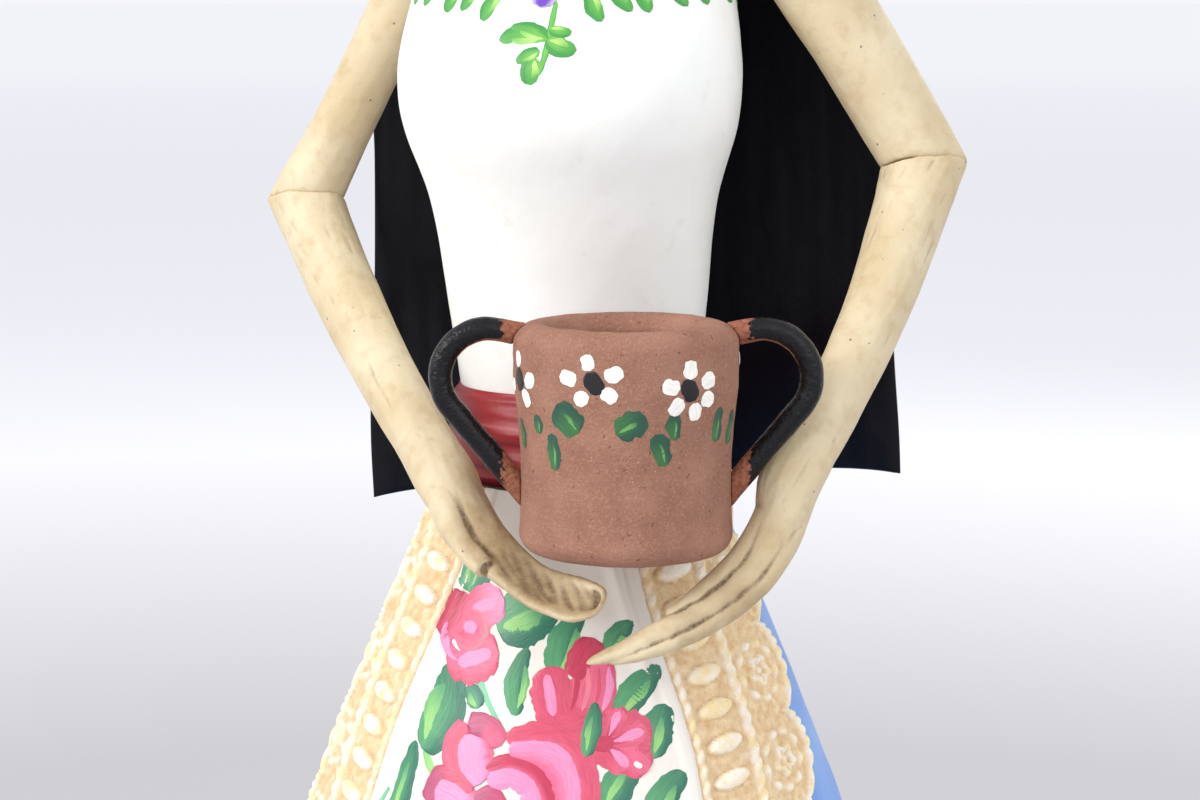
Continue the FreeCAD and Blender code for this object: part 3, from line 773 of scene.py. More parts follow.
def bud(brush, centre, size=1.0, turn=0.0):
    """Small rose of three lobes round a swirl."""
    def at(x, z):
        spin = math.radians(turn)
        return (centre[0] + size * (x * math.cos(spin) - z * math.sin(spin)),
                centre[1] + size * (x * math.sin(spin) + z * math.cos(spin)))

    brush.dab(at(-2.7, 2.0), 6.6 * size, CRIMSON, turn=60 + turn, squash=0.8, right=ROSE)
    brush.dab(at(2.0, 3.4), 6.6 * size, ROSE, turn=20 + turn, squash=0.85, tip=PINK)
    brush.dab(at(0.9, -2.9), 8.4 * size, ROSE, turn=10 + turn, squash=0.86, edge=CRIMSON_SOFT)
    brush.dab(at(2.2, 3.6), 4.0 * size, PINK, turn=20 + turn, squash=0.7)
    brush.dab(at(1.4, -3.1), 5.4 * size, PINK, turn=20 + turn, squash=0.66)
    brush.ring(at(0.1, 0.5), 2.3 * size, 200 + turn, 250, 1.9 * size, ROSE, right=SALMON, shape="round")
    brush.ring(at(-0.6, -0.6), 3.2 * size, 150 + turn, 110, 1.5 * size, PINK, shape="leaf")
    brush.dab(at(0.3, 0.7), 2.2 * size, PINK, edge=LILAC_PINK)
    brush.stroke([at(-2.4, -1.2), at(-1.7, -2.0), at(-0.9, -2.5)], 0.9 * size, WHITE, shape="comma")


def fan(brush, centre, size=1.0, turn=0.0):
    """Side-on rose whose petals open to one side, streaked with crimson from its heart."""
    def at(length, angle):
        spin = math.radians(turn + angle)
        return centre[0] + size * length * math.cos(spin), centre[1] + size * length * math.sin(spin)

    for angle, length, width in ((62, 5.4, 4.4), (-48, 5.6, 4.6), (8, 6.6, 5.2)):
        brush.stroke([at(-0.8, angle), at(length * 0.5, angle), at(length, angle)], width * size,
                     CRIMSON_SOFT,
                     tip=ROSE, shape="petal")
        brush.stroke([at(0.8, angle), at(length * 0.55, angle + 2), at(length * 0.92, angle)],
                     width * 0.62 * size,
                     PINK, shape="petal")
    for angle in (-62, -30, -6, 20, 48, 74):
        brush.stroke([at(-0.4, angle), at(2.2, angle), at(4.2, angle + 3)], 0.8 * size, CRIMSON, tip=ROSE,
                     shape="comma")
    brush.dab(at(0.2, 180), 3.2 * size, CRIMSON)


def paint_apron(apron):
    """Roses and leaves down the whole panel, as loose brushwork."""
    cloth = Wrap([apron])
    brush = Brush(lambda across, up, lift: cloth.spot(math.degrees(across / SKIRT_RADIUS(up)), up, lift))
    brush.stroke([(-12.2, 109.0), (-14.4, 112.0), (-13.0, 117.0)], 1.3, LEAF_LIGHT, tip=LEAF_MID,
                 shape="round")
    brush.stroke([(-7.3, 122.3), (-5.4, 119.0), (-2.0, 114.6)], 1.2, MINT, shape="hair")
    leaves = (((-10.2, 132.6), (-8.8, 140.6), 5.6), ((-5.2, 128.4), (3.0, 131.8), 7.6),
              ((3.6, 122.4), (6.2, 131.4), 3.9),
              ((-1.4, 117.8), (-0.6, 126.4), 2.9), ((9.8, 125.2), (12.6, 130.0), 2.8),
              ((-15.4, 112.2), (-11.6, 123.6), 6.6),
              ((-7.0, 118.2), (-9.0, 120.8), 2.8), ((12.0, 117.6), (17.0, 124.0), 4.2),
              ((17.2, 112.4), (18.2, 119.2), 4.6),
              ((-19.4, 102.0), (-16.6, 113.0), 3.4), ((11.0, 106.4), (14.8, 113.2), 4.6),
              ((17.4, 104.6), (21.8, 110.4), 4.4),
              ((-24.0, 92.0), (-17.4, 99.6), 5.4), ((-6.0, 88.0), (-2.2, 97.2), 5.2),
              ((8.2, 92.6), (5.4, 99.2), 4.0),
              ((24.6, 86.0), (27.4, 98.0), 5.4), ((-30.0, 74.0), (-25.2, 85.4), 6.0),
              ((2.0, 74.0), (-3.0, 84.4), 5.6),
              ((29.6, 66.0), (31.6, 78.0), 6.0), ((10.0, 62.0), (4.4, 70.0), 5.4),
              ((-14.0, 56.0), (-8.0, 64.8), 5.6),
              ((-35.0, 54.0), (-30.2, 66.4), 6.4), ((36.0, 44.0), (34.2, 57.6), 6.4),
              ((-4.0, 38.0), (2.0, 48.0), 6.0),
              ((19.6, 34.0), (25.0, 43.4), 6.0), ((-30.4, 34.0), (-24.0, 42.6), 6.0),
              ((40.2, 30.0), (37.0, 40.0), 5.6),
              ((-41.0, 32.0), (-38.2, 45.0), 5.6))
    for root, point, width in leaves:
        brush.leaf(root, point, width, bend=random.uniform(-0.14, 0.14))
    for root, point in (((-26.0, 102.5), (-20.6, 106.4)), ((6.0, 78.6), (14.0, 84.0)),
                        ((-20.0, 68.0), (-12.0, 72.0)),
                        ((24.0, 58.0), (17.6, 62.0)), ((-16.0, 42.0), (-8.6, 50.0))):
        brush.stroke([root, ((root[0] + point[0]) / 2, root[1]), point], 1.1, MINT, shape="hair")
    bud(brush, (-9.6, 127.6))
    brush.dab((3.2, 120.4), 7.8, CRIMSON_SOFT, turn=105, squash=0.72)
    brush.dab((2.9, 120.6), 5.4, PINK, turn=105, squash=0.5, edge=ROSE)
    brush.dab((7.0, 125.2), 5.6, CRIMSON, turn=70, squash=0.85)
    brush.dab((8.5, 121.4), 8.0, ROSE, turn=80, squash=0.74, edge=CRIMSON_SOFT)
    brush.dab((6.8, 117.8), 4.6, CRIMSON_SOFT, turn=20, squash=0.9)
    for x, colour, width in ((6.0, CRIMSON, 1.1), (7.5, SALMON, 1.2), (10.2, PINK, 1.5),
                             (8.9, CRIMSON_SOFT, 0.8)):
        brush.stroke([(x, 124.2), (x + 0.3, 121.2), (x - 0.3, 118.6)], width, colour, shape="leaf")
    brush.dab((12.6, 115.0), 8.4, CRIMSON_SOFT, turn=-12, squash=0.92)
    brush.dab((14.2, 113.0), 6.4, ROSE, turn=-40, squash=0.7, edge=CRIMSON_SOFT)
    fan(brush, (10.6, 114.6), 0.86, 6)
    brush.dab((15.2, 111.8), 1.3, WHITE, turn=-30, squash=0.7)
    bloom(brush, (0.1, 108.8))
    brush.leaf((8.2, 113.0), (8.8, 119.8), 2.9, 0.05)
    bloom(brush, (14.6, 86.8), 0.92, 160)
    bud(brush, (-11.4, 92.6), 1.15, 40)
    fan(brush, (-22.0, 82.0), 1.1, 150)
    bloom(brush, (-12.6, 74.6), 1.0, 20)
    bud(brush, (19.0, 70.6), 1.2, -60)
    bloom(brush, (2.4, 54.6), 1.05, 70)
    fan(brush, (-25.6, 53.0), 1.2, 200)
    bud(brush, (27.6, 50.6), 1.3, 100)
    bud(brush, (-15.0, 36.2), 1.2, 10)
    fan(brush, (13.0, 36.6), 1.15, 20)
    brush.finish("apron_roses", "white_paint")


LACE_WIDTH, LOBE_REACH, LOBE_PITCH, LOBE_START = 19.5, 4.0, 12.8, 8.2


def lace_edge(s):
    """Width of the scalloped trim at a distance along it."""
    return LACE_WIDTH + LOBE_REACH * abs(math.sin(math.pi * (s - LOBE_START) / LOBE_PITCH)) ** 0.6


def lace_relief(s, w, width):
    """Height of the trim's threads, 0 to 1, at a distance along it and across it from its inner edge."""
    grow = width / LACE_WIDTH
    left = lace_edge(s) * grow - w
    twist = 0.5 + 0.5 * math.sin(math.tau * s / 2.2 + w * 2.6)
    height = 0.3 + 0.2 * lumps(Vector((s, w, 3)) * MM, 1.5, 4)

    def cord(middle, half, top):
        near = abs(w - middle) / half
        return top * (1 - near ** 2) ** 0.6 * (0.62 + 0.38 * twist) if near < 1 else 0.0

    height = max(height, cord(0.8 * grow, 0.8, 0.8), cord(9.6 * grow, 1.2, 1.0))
    cell = (s + 0.16 * w) / 4.9
    cell -= math.floor(cell) + 0.5
    oval = (cell * 4.9 / 1.3) ** 2 + ((w - 5.1 * grow) / (3.0 * grow)) ** 2
    if oval < 1:
        height = max(height, 0.35 + 0.65 * (1 - oval) ** 0.5)
    elif 1.6 < w < 8.4 * grow:
        height *= 0.35 + 0.65 * min(abs(oval - 1) / 0.8, 1)
    rim = abs(left - 1.1) / 1.2
    if rim < 1:
        height = max(height, (1 - rim ** 2) ** 0.6 * (0.6 + 0.4 * twist))
    if w > 10.6 * grow and left > 1.9:
        lobe = (s - LOBE_START) / LOBE_PITCH
        lobe -= math.floor(lobe) + 0.5
        x, y = lobe * LOBE_PITCH * 0.95, w - 15.4 * grow
        far, turn = math.hypot(x, y * 0.9), math.atan2(y, x)
        knot = 0.5 + 0.5 * math.cos(turn * 9)
        ring = math.exp(-((far - 3.7) / 0.75) ** 2) * (0.45 + 0.55 * knot)
        flower = math.exp(-((far - 1.5 - 0.35 * math.cos(turn * 5)) / 0.6) ** 2)
        height = max(height, 0.9 * ring, 0.95 * flower, 0.8 * math.exp(-(far / 0.7) ** 2))
    return min(height, 1.0)


def lace_piece(name, spot, length, width, replaced, step=0.27):
    """Trim length millimetres long; spot(s, w, lift) is a place on the skirt."""
    rows = int(length / step)
    columns = int((width + LOBE_REACH) / step)
    outer, inner, wash = [], [], []
    for row in range(rows + 1):
        s = length * row / rows
        reach = lace_edge(s) * width / LACE_WIDTH
        line = [(w, lace_relief(s, w, width)) for w in np.linspace(0, reach, columns)]
        outer.append([spot(s, w, 0.5 + 1.25 * height) for w, height in line])
        inner.append([spot(s, w, 0.14) for w, _ in line])
        # Low places between the threads are marked darker: golden wash and painted shade.
        wash += [1 - ease(height, 0.3, 0.75) for _, height in line]
    piece = shell_object(name, outer, inner)
    mark(piece, "wash", wash + [0.8] * len(wash))
    finish_piece(piece, LACE, replaced=replaced)


def side_lace(side):
    """Trim down one side of the apron, spreading as the skirt widens."""
    def spot(s, w, lift):
        height = PANEL_TOP - s / 1.09
        start = panel_edge(side, height) - math.degrees(0.15 / SKIRT_RADIUS(height))
        share = w / LACE_WIDTH
        sweep = math.degrees(LACE_WIDTH / SKIRT_RADIUS(height)) + 4 * ease(PANEL_TOP - height, 60, 118)
        return skirt_spot(side * (start + sweep * share), height, lift)
    name = "left" if side > 0 else "right"
    lace_piece("lace_" + name, spot, (PANEL_TOP - PANEL_FOOT) * 1.09, LACE_WIDTH, ("apron_lace_" + name,))


def foot_lace():
    """Trim along the apron's foot, round both corners."""
    reach = 69.0
    radius = SKIRT_RADIUS(20)

    def spot(s, w, lift):
        return skirt_spot(math.degrees(s / radius) - reach, PANEL_FOOT - 0.3 - w * 0.56, lift)
    lace_piece("lace_foot", spot, math.radians(2 * reach) * radius, LACE_WIDTH, ("apron_lace_bottom",))


# ---------------------------------------------------------------- sash, blouse and body

def make_sash():
    """Red sash in overlapping turns with a few creases, its stripes painted on."""
    band = Wrap(nodes("sash_band"))
    heights, turns = np.linspace(146.1, 158.9, 60), np.linspace(0, 360, 300, endpoint=False)

    def wraps(height, turn):
        slant = height + 0.5 * math.sin(math.radians(turn + 40)) + 0.25 * math.sin(math.radians(3 * turn))
        fold = 0.5 * math.sin((slant - 146) / 13 * math.pi * 4.3) + 0.22 * math.sin(slant * 2.1 + turn * 0.02)
        crease = 0.25 * lumps(Vector((turn * 0.05, 0, slant)) * MM, 1.3, 6)
        edge = 0.9 * (1 - ease(min(height - 146.1, 158.9 - height), 0, 1.2))
        return 0.3 + 0.45 * fold + crease - edge

    outer = [[band.spot(turn, height, wraps(height, turn)) for turn in turns] for height in heights]
    inner = [[band.spot(turn, height, -1.6) for turn in turns] for height in heights]
    piece = shell_object("sash_cloth", outer, inner, True)
    red, deep, pale = paint(150, 36, 42), paint(98, 20, 36), paint(196, 98, 104)
    colours = []
    for height in list(heights) * 2:
        for turn in turns:
            slant = height + 0.5 * math.sin(math.radians(turn + 40))
            line = math.exp(-((slant - 154.3) / 0.22) ** 2)
            dark = math.exp(-((slant - 152.2) / 0.35) ** 2) + math.exp(-((slant - 148.6) / 0.3) ** 2)
            colours.append(mix(mix(red, pale, 0.6 * line), deep, min(dark, 1) * 0.7))
    mark(piece, "paint", np.array(colours))
    finish_piece(piece, SASH, replaced=("sash_band",))


def make_torso():
    """Blouse, chest and ringed neck."""
    blouse = cast("blouse_paper", ("blouse",), 0.55, 3, ((0.22, 14), (0.06, 4)))
    finish_piece(blouse, BLOUSE, replaced=("blouse",))
    # Chest and neck: brown wash and painted shade darken their hollows.
    chest = cast("chest_paper", ("chest",), 0.55, 3, ((0.2, 9), (0.08, 3)))
    finish_piece(wash_and_shade_hollows(chest), BONE, replaced=("chest",))
    neck = cast("neck_bones", ("neck",), 0.4, 2, ((0.12, 4),))
    finish_piece(wash_and_shade_hollows(neck), BONE, replaced=("neck",))
    return blouse


def paint_blouse(blouse):
    """Garland of violet flowers and green sprigs round the neckline, with one sprig hanging at the middle."""
    cloth = Wrap([blouse])
    brush = Brush(cloth.flat(0, 21.0))
    brush.stroke([(1.8, 212.6), (1.4, 208.8), (1.0, 205.4), (0.2, 202.8)], 0.8, SPRIG, edge=SPRIG_DARK,
                 shape="round")
    for root, point, width in (((1.2, 208.0), (-4.8, 207.4), 2.6), ((1.2, 207.4), (-3.6, 209.2), 1.8),
                               ((1.0, 207.6), (4.6, 206.2), 2.6), ((1.2, 209.0), (4.0, 208.6), 1.7),
                               ((-0.1, 205.2), (-0.4, 201.6), 2.4), ((0.4, 206.0), (-2.2, 204.4), 1.7)):
        brush.leaf(root, point, width, 0.12, SPRIG_LIGHT, SPRIG, SPRIG_DARK)
    for side in (-1, 1):
        for reach, drop, turn in ((7.0, 211.6, -70), (10.6, 212.6, -60), (13.8, 213.0, -95),
                                  (18.4, 213.6, -70),
                                  (22.4, 214.0, -100), (27.0, 214.2, -75), (33.0, 214.0, -90),
                                  (41.0, 214.0, -80),
                                  (49.0, 214.0, -95)):
            lean = math.radians(turn)
            root = (side * (reach - 1.6 * math.cos(lean)), drop + 2.6)
            brush.leaf(root, (root[0] + side * 3.4 * math.cos(lean), root[1] + 4.6 * math.sin(lean)),
                       2.4, 0.1,
                       SPRIG_LIGHT, SPRIG, SPRIG_DARK)
        for reach in (13.6, 28.2, 43.0, 58.0):
            daisy(brush, (side * reach, 217.0), 3.5, ROSE if int(reach) % 2 else SKY)
    daisy(brush, (0.6, 216.4), 4.6, VIOLET)
    brush.finish("blouse_flowers", "white_paint")


def daisy(brush, centre, size, colour):
    """Round flower of overlapping petals about a yellow heart."""
    for step in range(6):
        turn = math.radians(60 * step + 20)
        petal = np.array((math.cos(turn), math.sin(turn))) * size * 0.58
        brush.dab(np.array(centre) + petal, size * 0.92, colour, turn=math.degrees(turn), squash=0.86,
                  edge=mix(colour, WHITE, 0.45))
    brush.dab(centre, size * 0.5, YELLOW, edge=paint(206, 130, 40))


# ---------------------------------------------------------------- arms and hands

ARM_LAYERS = ((0.34, 7), (0.2, 3), (0.06, 1.1))


def finger(path, wide, aside, girth):
    """Tapered finger. path is places in mm, wide the direction across the hand, aside how far the finger
    lies along it, and girth its (half width, half thickness) at each place of the path."""
    wide = Vector(wide).normalized()
    rings, turns, steps = [], np.linspace(0, math.tau, 28, endpoint=False), 44
    for step in range(steps + 1):
        share = step / steps
        here, ahead, behind = (Vector(along(path, min(max(share + d, 0), 1))) for d in (0, 0.02, -0.02))
        forward = (ahead - behind).normalized()
        across = (wide - forward * wide.dot(forward)).normalized()
        out = forward.cross(across)
        offset, half_wide, half_thick = along([(aside_at, *g) for aside_at, g in zip(aside, girth)], share)
        end = math.sqrt(max(1 - max((share - 0.93) / 0.07, (0.06 - share) / 0.06, 0) ** 2, 0.01))
        rings.append([(here + across * (offset + half_wide * end * math.cos(t))
                       + out * half_thick * end * math.sin(t)) * MM for t in turns])
    return tube_object("finger", rings)


def make_upper_arms():
    """Upper arms, each with a shoulder that runs into the chest."""
    for side, sign, joint, down in (("left", 1, (22.4, 0, 229.4), (27.0, 0.7, 222.6)),
                                    ("right", -1, (-17.4, 0, 227.4), (-21.2, 0.6, 221.4))):
        name = f"upper_arm_{side}"
        shoulder = finger([(sign * 7.0, 0.6, 227.2), (sign * 13.6, 0.4, 228.0), joint, down], (0, 1, 0),
                          (0, 0, 0, 0),
                          ((4.6, 4.4), (5.2, 4.8), (5.6, 5.3), (5.0, 4.8)))
        piece = cast(name + "_paper", (name,), 0.4, 4, ARM_LAYERS, [shoulder], along=(0.45 * sign, 0, -0.8))
        # Brown wash and painted shade darken the arm's hollows.
        finish_piece(wash_and_shade_hollows(piece, 8, 0.11), BONE, replaced=(name,))


HAND_LAYERS = ((0.3, 6), (0.16, 2.4), (0.08, 0.9))


def make_left_hand():
    """Forearm running into a paddle of three fingers pressed together: a short one by the mug, the long one
    and one behind it."""
    path = [(34.4, -25.6, 150.0), (33.4, -28.8, 144.8), (30.2, -32.6, 139.2), (25.2, -36.9, 135.0),
            (18.6, -41.0, 131.5), (11.2, -43.7, 128.3)]
    wide = (-0.35, 0.35, 0.86)
    fingers = [finger(path[:4] + [(21.4, -39.4, 133.2)], wide, (0.5, 1.1, 1.7, 1.6, 1.4),
                      ((3.0, 3.2), (2.6, 2.8), (1.9, 2.1), (1.5, 1.6), (0.7, 0.8))),
               finger([(38.9, -17.0, 160.0), (36.8, -21.1, 155.2), *path], wide,
                      (0, 0, 0, 0, -0.3, -0.35, -0.1, 0.3),
                      ((3.5, 3.4), (3.9, 3.7), (4.2, 4.0), (3.4, 3.5), (2.5, 2.6), (2.0, 2.1), (1.6, 1.5),
                       (0.6, 0.6))),
               finger(path[:5] + [(13.6, -42.6, 128.9)], wide, (-0.3, -1.0, -1.9, -2.0, -1.6, -0.2),
                      ((3.0, 3.2), (2.6, 2.8), (1.7, 2.1), (1.4, 1.7), (1.1, 1.2), (0.6, 0.5)))]
    return cast("forearm_hand_left", ("forearm_left",), 0.23, 2, HAND_LAYERS, fingers,
                along=(-0.4, -0.55, -0.75))


SCOOP_UP = Vector((0.25, -0.42, 0.876)).normalized()


def make_right_hand():
    """Forearm running into a scoop held palm up: a long dished spoon with a thick front lip and a stubby
    ledge at its start."""
    path = [(-20.0, -18.6, 156.2), (-16.3, -22.0, 152.4), (-12.5, -25.8, 148.8), (-9.0, -29.4, 145.2),
            (-4.0, -33.8, 141.0), (3.2, -39.0, 137.6), (9.4, -42.2, 136.6), (13.6, -43.4, 137.2)]
    flat, upright = Vector((0.70, 0.71, 0.14)), Vector((0.05, 0.62, 0.80))
    halves = [(3.5, 3.5), (3.9, 3.8), (4.15, 4.0), (3.7, 3.2), (3.6, 2.6), (3.5, 2.0), (3.2, 1.8), (2.5, 1.4)]
    rings, steps, turns = [], 70, np.linspace(0, math.tau, 44, endpoint=False)
    for step in range(steps + 1):
        share = step / steps
        here, ahead = Vector(along(path, share)), Vector(along(path, min(share + 0.03, 1)))
        forward = (ahead - here).normalized() if share < 0.97 else Vector((0.86, -0.4, 0.2)).normalized()
        wide = flat.lerp(upright, ease(share, 0.6, 0.96))
        wide = (wide - forward * wide.dot(forward)).normalized()
        lid = forward.cross(wide)
        lid *= 1 if lid.dot(SCOOP_UP) > 0 else -1
        half_wide, half_thick = along(halves, share)
        dish = 2.0 * ease(share, 0.56, 0.66) * (1 - ease(share, 0.94, 1.0))
        tip = math.sqrt(max(1 - max((share - 0.85) / 0.15, (0.03 - share) / 0.03, 0) ** 2, 0.01))
        ring = []
        for turn in turns:
            x, y = math.cos(turn), math.sin(turn)
            sunk = dish * max(y, 0) * (1 - abs(x + 0.06) ** 2.6) if y > 0 and abs(x + 0.06) < 1 else 0
            ring.append((here + wide * half_wide * tip * x + lid * (half_thick * tip * y - sunk)) * MM)
        rings.append(ring)
    spoon = tube_object("spoon", rings)
    ledge = finger([(-11.8, -27.0, 148.0), (-8.4, -31.0, 144.2), (-5.2, -34.0, 141.6),
                    (-1.8, -36.6, 139.6)], flat,
                   (-1.4, -1.9, -2.2, -2.5), ((2.0, 2.6), (1.9, 2.5), (1.7, 1.9), (1.5, 1.6)))
    return cast("forearm_hand_right", ("forearm_right",), 0.23, 2, HAND_LAYERS, [spoon, ledge],
                along=(0.5, -0.55, -0.6))


def make_hands():
    """Both hands, with painted shade on the upturned palms and in blotches low down, and brown wash with
    painted shade in the low places.
    """
    for make, side, up in ((make_left_hand, "left", Vector((-0.6, -0.2, 0.8))),
                           (make_right_hand, "right", SCOOP_UP)):
        piece = make()
        facing = normals(piece) @ np.array(up.normalized())
        most = 0.95 if side == "right" else 0.8
        # Painted shade: the palm where it faces up under the mug, and blotches over the lower parts.
        palm = [most * ease(face, 0.25, 0.75) * (1 - ease(abs(place[0] / MM - 4), 9, 16))
                + 0.5 * ease(-place[2] / MM, -146, -138) * ease(lumps(place, 6, 3), -0.1, 0.4)
                for face, place in zip(facing, spots(piece))]
        mark(piece, "shade", np.clip(np.array(palm), 0, 1))
        names = (f"forearm_{side}", f"hand_{side}")
        finish_piece(wash_and_shade_hollows(piece, 10, 0.065), BONE, replaced=names)


# ---------------------------------------------------------------- head and hair

SKULL_HEIGHT, LINING_SWELL = 272, 1.04


def make_head():
    """Skull, with a lining just proud of the newspaper inside it, so that the sockets have a floor."""
    core, middle = nodes("head_core")[0].data, Vector((0, 0, SKULL_HEIGHT)) * MM
    lining = make_object("lining", [middle + (vertex.co - middle) * LINING_SWELL for vertex in core.vertices],
                         [tuple(face.vertices) for face in core.polygons])
    skull = cast("skull_paper", ("skull",), 0.5, 3, ((0.15, 6), (0.05, 2)), [lining])
    # Brown wash and painted shade darken the skull's hollows and sockets.
    paint_skull(finish_piece(wash_and_shade_hollows(skull, 8, 0.15), BONE, replaced=("skull",)))


HAIR_SECTIONS = ((287.0, 0.0, 12.6, 4.2, 16.4, 0.5), (282.0, 0.0, 16.0, 4.2, 19.9, 0.5),
                 (275.0, 0.0, 17.4, 4.2, 21.2, 0.5),
                 (266.0, 0.0, 18.4, 3.6, 21.2, 0.55), (252.0, 0.3, 20.4, 5.0, 21.4, 0.65),
                 (238.0, 0.6, 25.4, 8.0, 22.2, 0.75),
                 (213.0, 1.8, 37.0, 14.5, 24.5, 0.8), (190.0, 2.8, 38.6, 17.6, 26.2, 0.8),
                 (168.0, 2.4, 39.4, 20.6, 27.8, 0.8),
                 (150.0, 2.0, 40.6, 23.0, 29.2, 0.8), (141.0, 2.0, 40.8, 24.0, 30.0, 0.8))


def hair_spot(share, across, lift):
    """Place on the sheet of hair: share down its length, across from -1 to 1, lift out from its inner side."""
    height, middle, half, edge, back, curl = along(HAIR_SECTIONS, share)
    x = middle + half * across
    drop = height + 3.4 * across * ease(share, 0.8, 1.0) - 1.2 * across ** 8 * ease(share, 0.9, 1.0)
    y = edge + (back - edge) * (1 - abs(across) ** 2.1) ** curl
    locks = 0.18 * lumps(Vector((x, y, drop * 0.06)) * MM, 2.6, 5)
    locks += 0.7 * lumps(Vector((x, y, drop * 0.3)) * MM, 15, 8)
    locks *= ease(share, 0.12, 0.36)
    lift *= 0.3 + 0.7 * ease(share, 0, 0.3)
    flare = 1.3 * abs(across) ** 6 * ease(share, 0.86, 1.0)
    rounded = 1.2 * (1 - math.sqrt(max(1 - max(abs(across) - 0.93, 0) ** 2 / 0.07 ** 2, 0)))
    rounded *= ease(share, 0.1, 0.3)
    sign = 1 if lift > 0 else -1
    return Vector((x, y + locks + flare + lift / 2 - sign * rounded, drop)) * MM


def make_hair():
    """Cap with a lock down each side, and the long fall behind."""
    locks = []
    for side in (-1, 1):
        path = [(side * x, y, z) for x, y, z in ((13.6, -9.5, 283), (17.0, -8.0, 274), (18.2, -5.0, 264),
                                                 (20.0, -0.5, 252), (23.6, 4.5, 240), (28.5, 9.0, 226))]
        locks.append(finger(path, (0.15 * side, 1, 0.1), (0,) * 6,
                            ((3.0, 1.6), (4.6, 1.9), (4.8, 1.9), (4.4, 1.8), (4.0, 1.6), (2.6, 1.2))))
    cap = cast("hair_cap_paper", ("hair_cap",), 0.5, 5, ((0.3, 8), (0.1, 3)), locks)
    finish_piece(cap, HAIR, replaced=("hair_cap",))
    shares, places = np.linspace(0, 1, 150), np.sin(np.linspace(-math.pi / 2, math.pi / 2, 160))
    outer = [[hair_spot(share, across, 2.6) for across in places] for share in shares]
    inner = [[hair_spot(share, across, -2.6) for across in places] for share in shares]
    fall = shell_object("hair_fall_paper", outer, inner)
    soften = fall.modifiers.new("soften", "SMOOTH")
    soften.iterations, soften.factor = 2, 0.5
    apply_modifiers(fall)
    finish_piece(fall, HAIR, replaced=("hair_fall",))


def paint_skull(skull):
    """Festive face painting: petals round the sockets, a heart-shaped nose, stitched teeth, brow flowers."""
    tree, heart = tree_of(skull), Vector((0, 0, 266)) * MM

    def spot(across, up, lift=0.0):
        turn, rise = across / 17, up / 17
        ray = Vector((math.sin(turn) * math.cos(rise), -math.cos(turn) * math.cos(rise), math.sin(rise)))
        found, normal, _, _ = tree.ray_cast(heart + ray * 60 * MM, -ray)
        return found + normal * (lift * MM)

    brush = Brush(spot)
    for side in (-1, 1):
        eye = (side * 6.2, 1.0)
        for step in range(12):
            turn = math.tau * step / 12
            place = (eye[0] + 4.7 * math.cos(turn), eye[1] + 4.7 * math.sin(turn))
            colour = (ROSE, SKY)[step % 2]
            brush.dab(place, 2.0, colour, turn=math.degrees(turn), squash=0.8, edge=mix(colour, WHITE, 0.4))
        brush.dab(eye, 7.2, INK, squash=1.0)
        brush.ring(eye, 3.3, 0, 360, 1.5, INK, shape="round")
        brush.stroke([(side * 11.6, -6.4), (side * 10.4, -8.8), (side * 8.0, -9.6)], 0.8, VIOLET,
                     shape="comma")
        brush.stroke([(side * 12.4, -4.4), (side * 12.6, -7.6), (side * 10.6, -10.2)], 0.6, LEAF_MID,
                     shape="comma")
        daisy(brush, (side * 10.4, -7.0), 2.2, ROSE)
        brush.stroke([(side * 2.0, 6.8), (side * 5.2, 8.6), (side * 9.4, 7.2)], 0.8, INK, shape="leaf")
        brush.stroke([(side * 0.9, -5.0), (side * 1.4, -6.8), (side * 0.3, -7.6)], 1.4, INK, shape="leaf")
        brush.leaf((side * 1.6, 13.2), (side * 5.4, 12.6), 1.8)
    brush.dab((0, -6.0), 3.0, INK, turn=90, squash=0.62)
    daisy(brush, (0, 12.4), 3.4, VIOLET)
    for x in (-1.6, 0, 1.6):
        brush.dab((x, 8.6 - abs(x) * 0.4), 1.0, CRIMSON)
    brush.stroke([(-6.2, -11.0), (0, -12.2), (6.2, -11.0)], 0.55, INK, shape="leaf", tooth=0.02)
    for step in range(-4, 5):
        x = step * 1.35
        middle = -12.2 + 0.03 * x * x
        brush.stroke([(x, middle + 1.5), (x * 1.01, middle), (x, middle - 1.5)], 0.3, INK, shape="leaf",
                     tooth=0.02)
    brush.dab((0, -16.0), 1.6, ROSE, turn=90)
    brush.finish("face_painting", "bone_paint")


# ---------------------------------------------------------------- mug

MUG_AXIS, MUG_TURN, MUG_RADIUS = (14.0, -33.0), 13.0, 14.2


def make_mug():
    body = cast("mug_clay", ("mug_body",), 0.34, 2, ((0.14, 8), (0.06, 2.2)))
    finish_piece(body, CLAY, "mug", ("mug_body",))
    for side in ("left", "right"):
        coil = cast(f"mug_coil_{side}", (f"mug_handle_{side}",), 0.22, 2, ((0.12, 4), (0.05, 1.5)))
        low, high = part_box(f"mug_handle_{side}")
        middle = (low + high) / 2
        axis = Vector((*MUG_AXIS, 0)) * MM
        reach = (high - low).length / 2
        away = (middle - axis).xy.normalized()
        wash = []
        for place, facing in zip(map(Vector, spots(coil)), map(Vector, normals(coil))):
            out = (place - middle).xy.dot(away) / reach
            inward = facing.dot((middle - place).normalized())
            wash.append(ease(out, -0.42, -0.02) * (1 - 0.9 * ease(inward, 0.55, 0.9)))
        mark(coil, "wash", wash)
        finish_piece(coil, HANDLE, "mug", (f"mug_handle_{side}",))
    return body


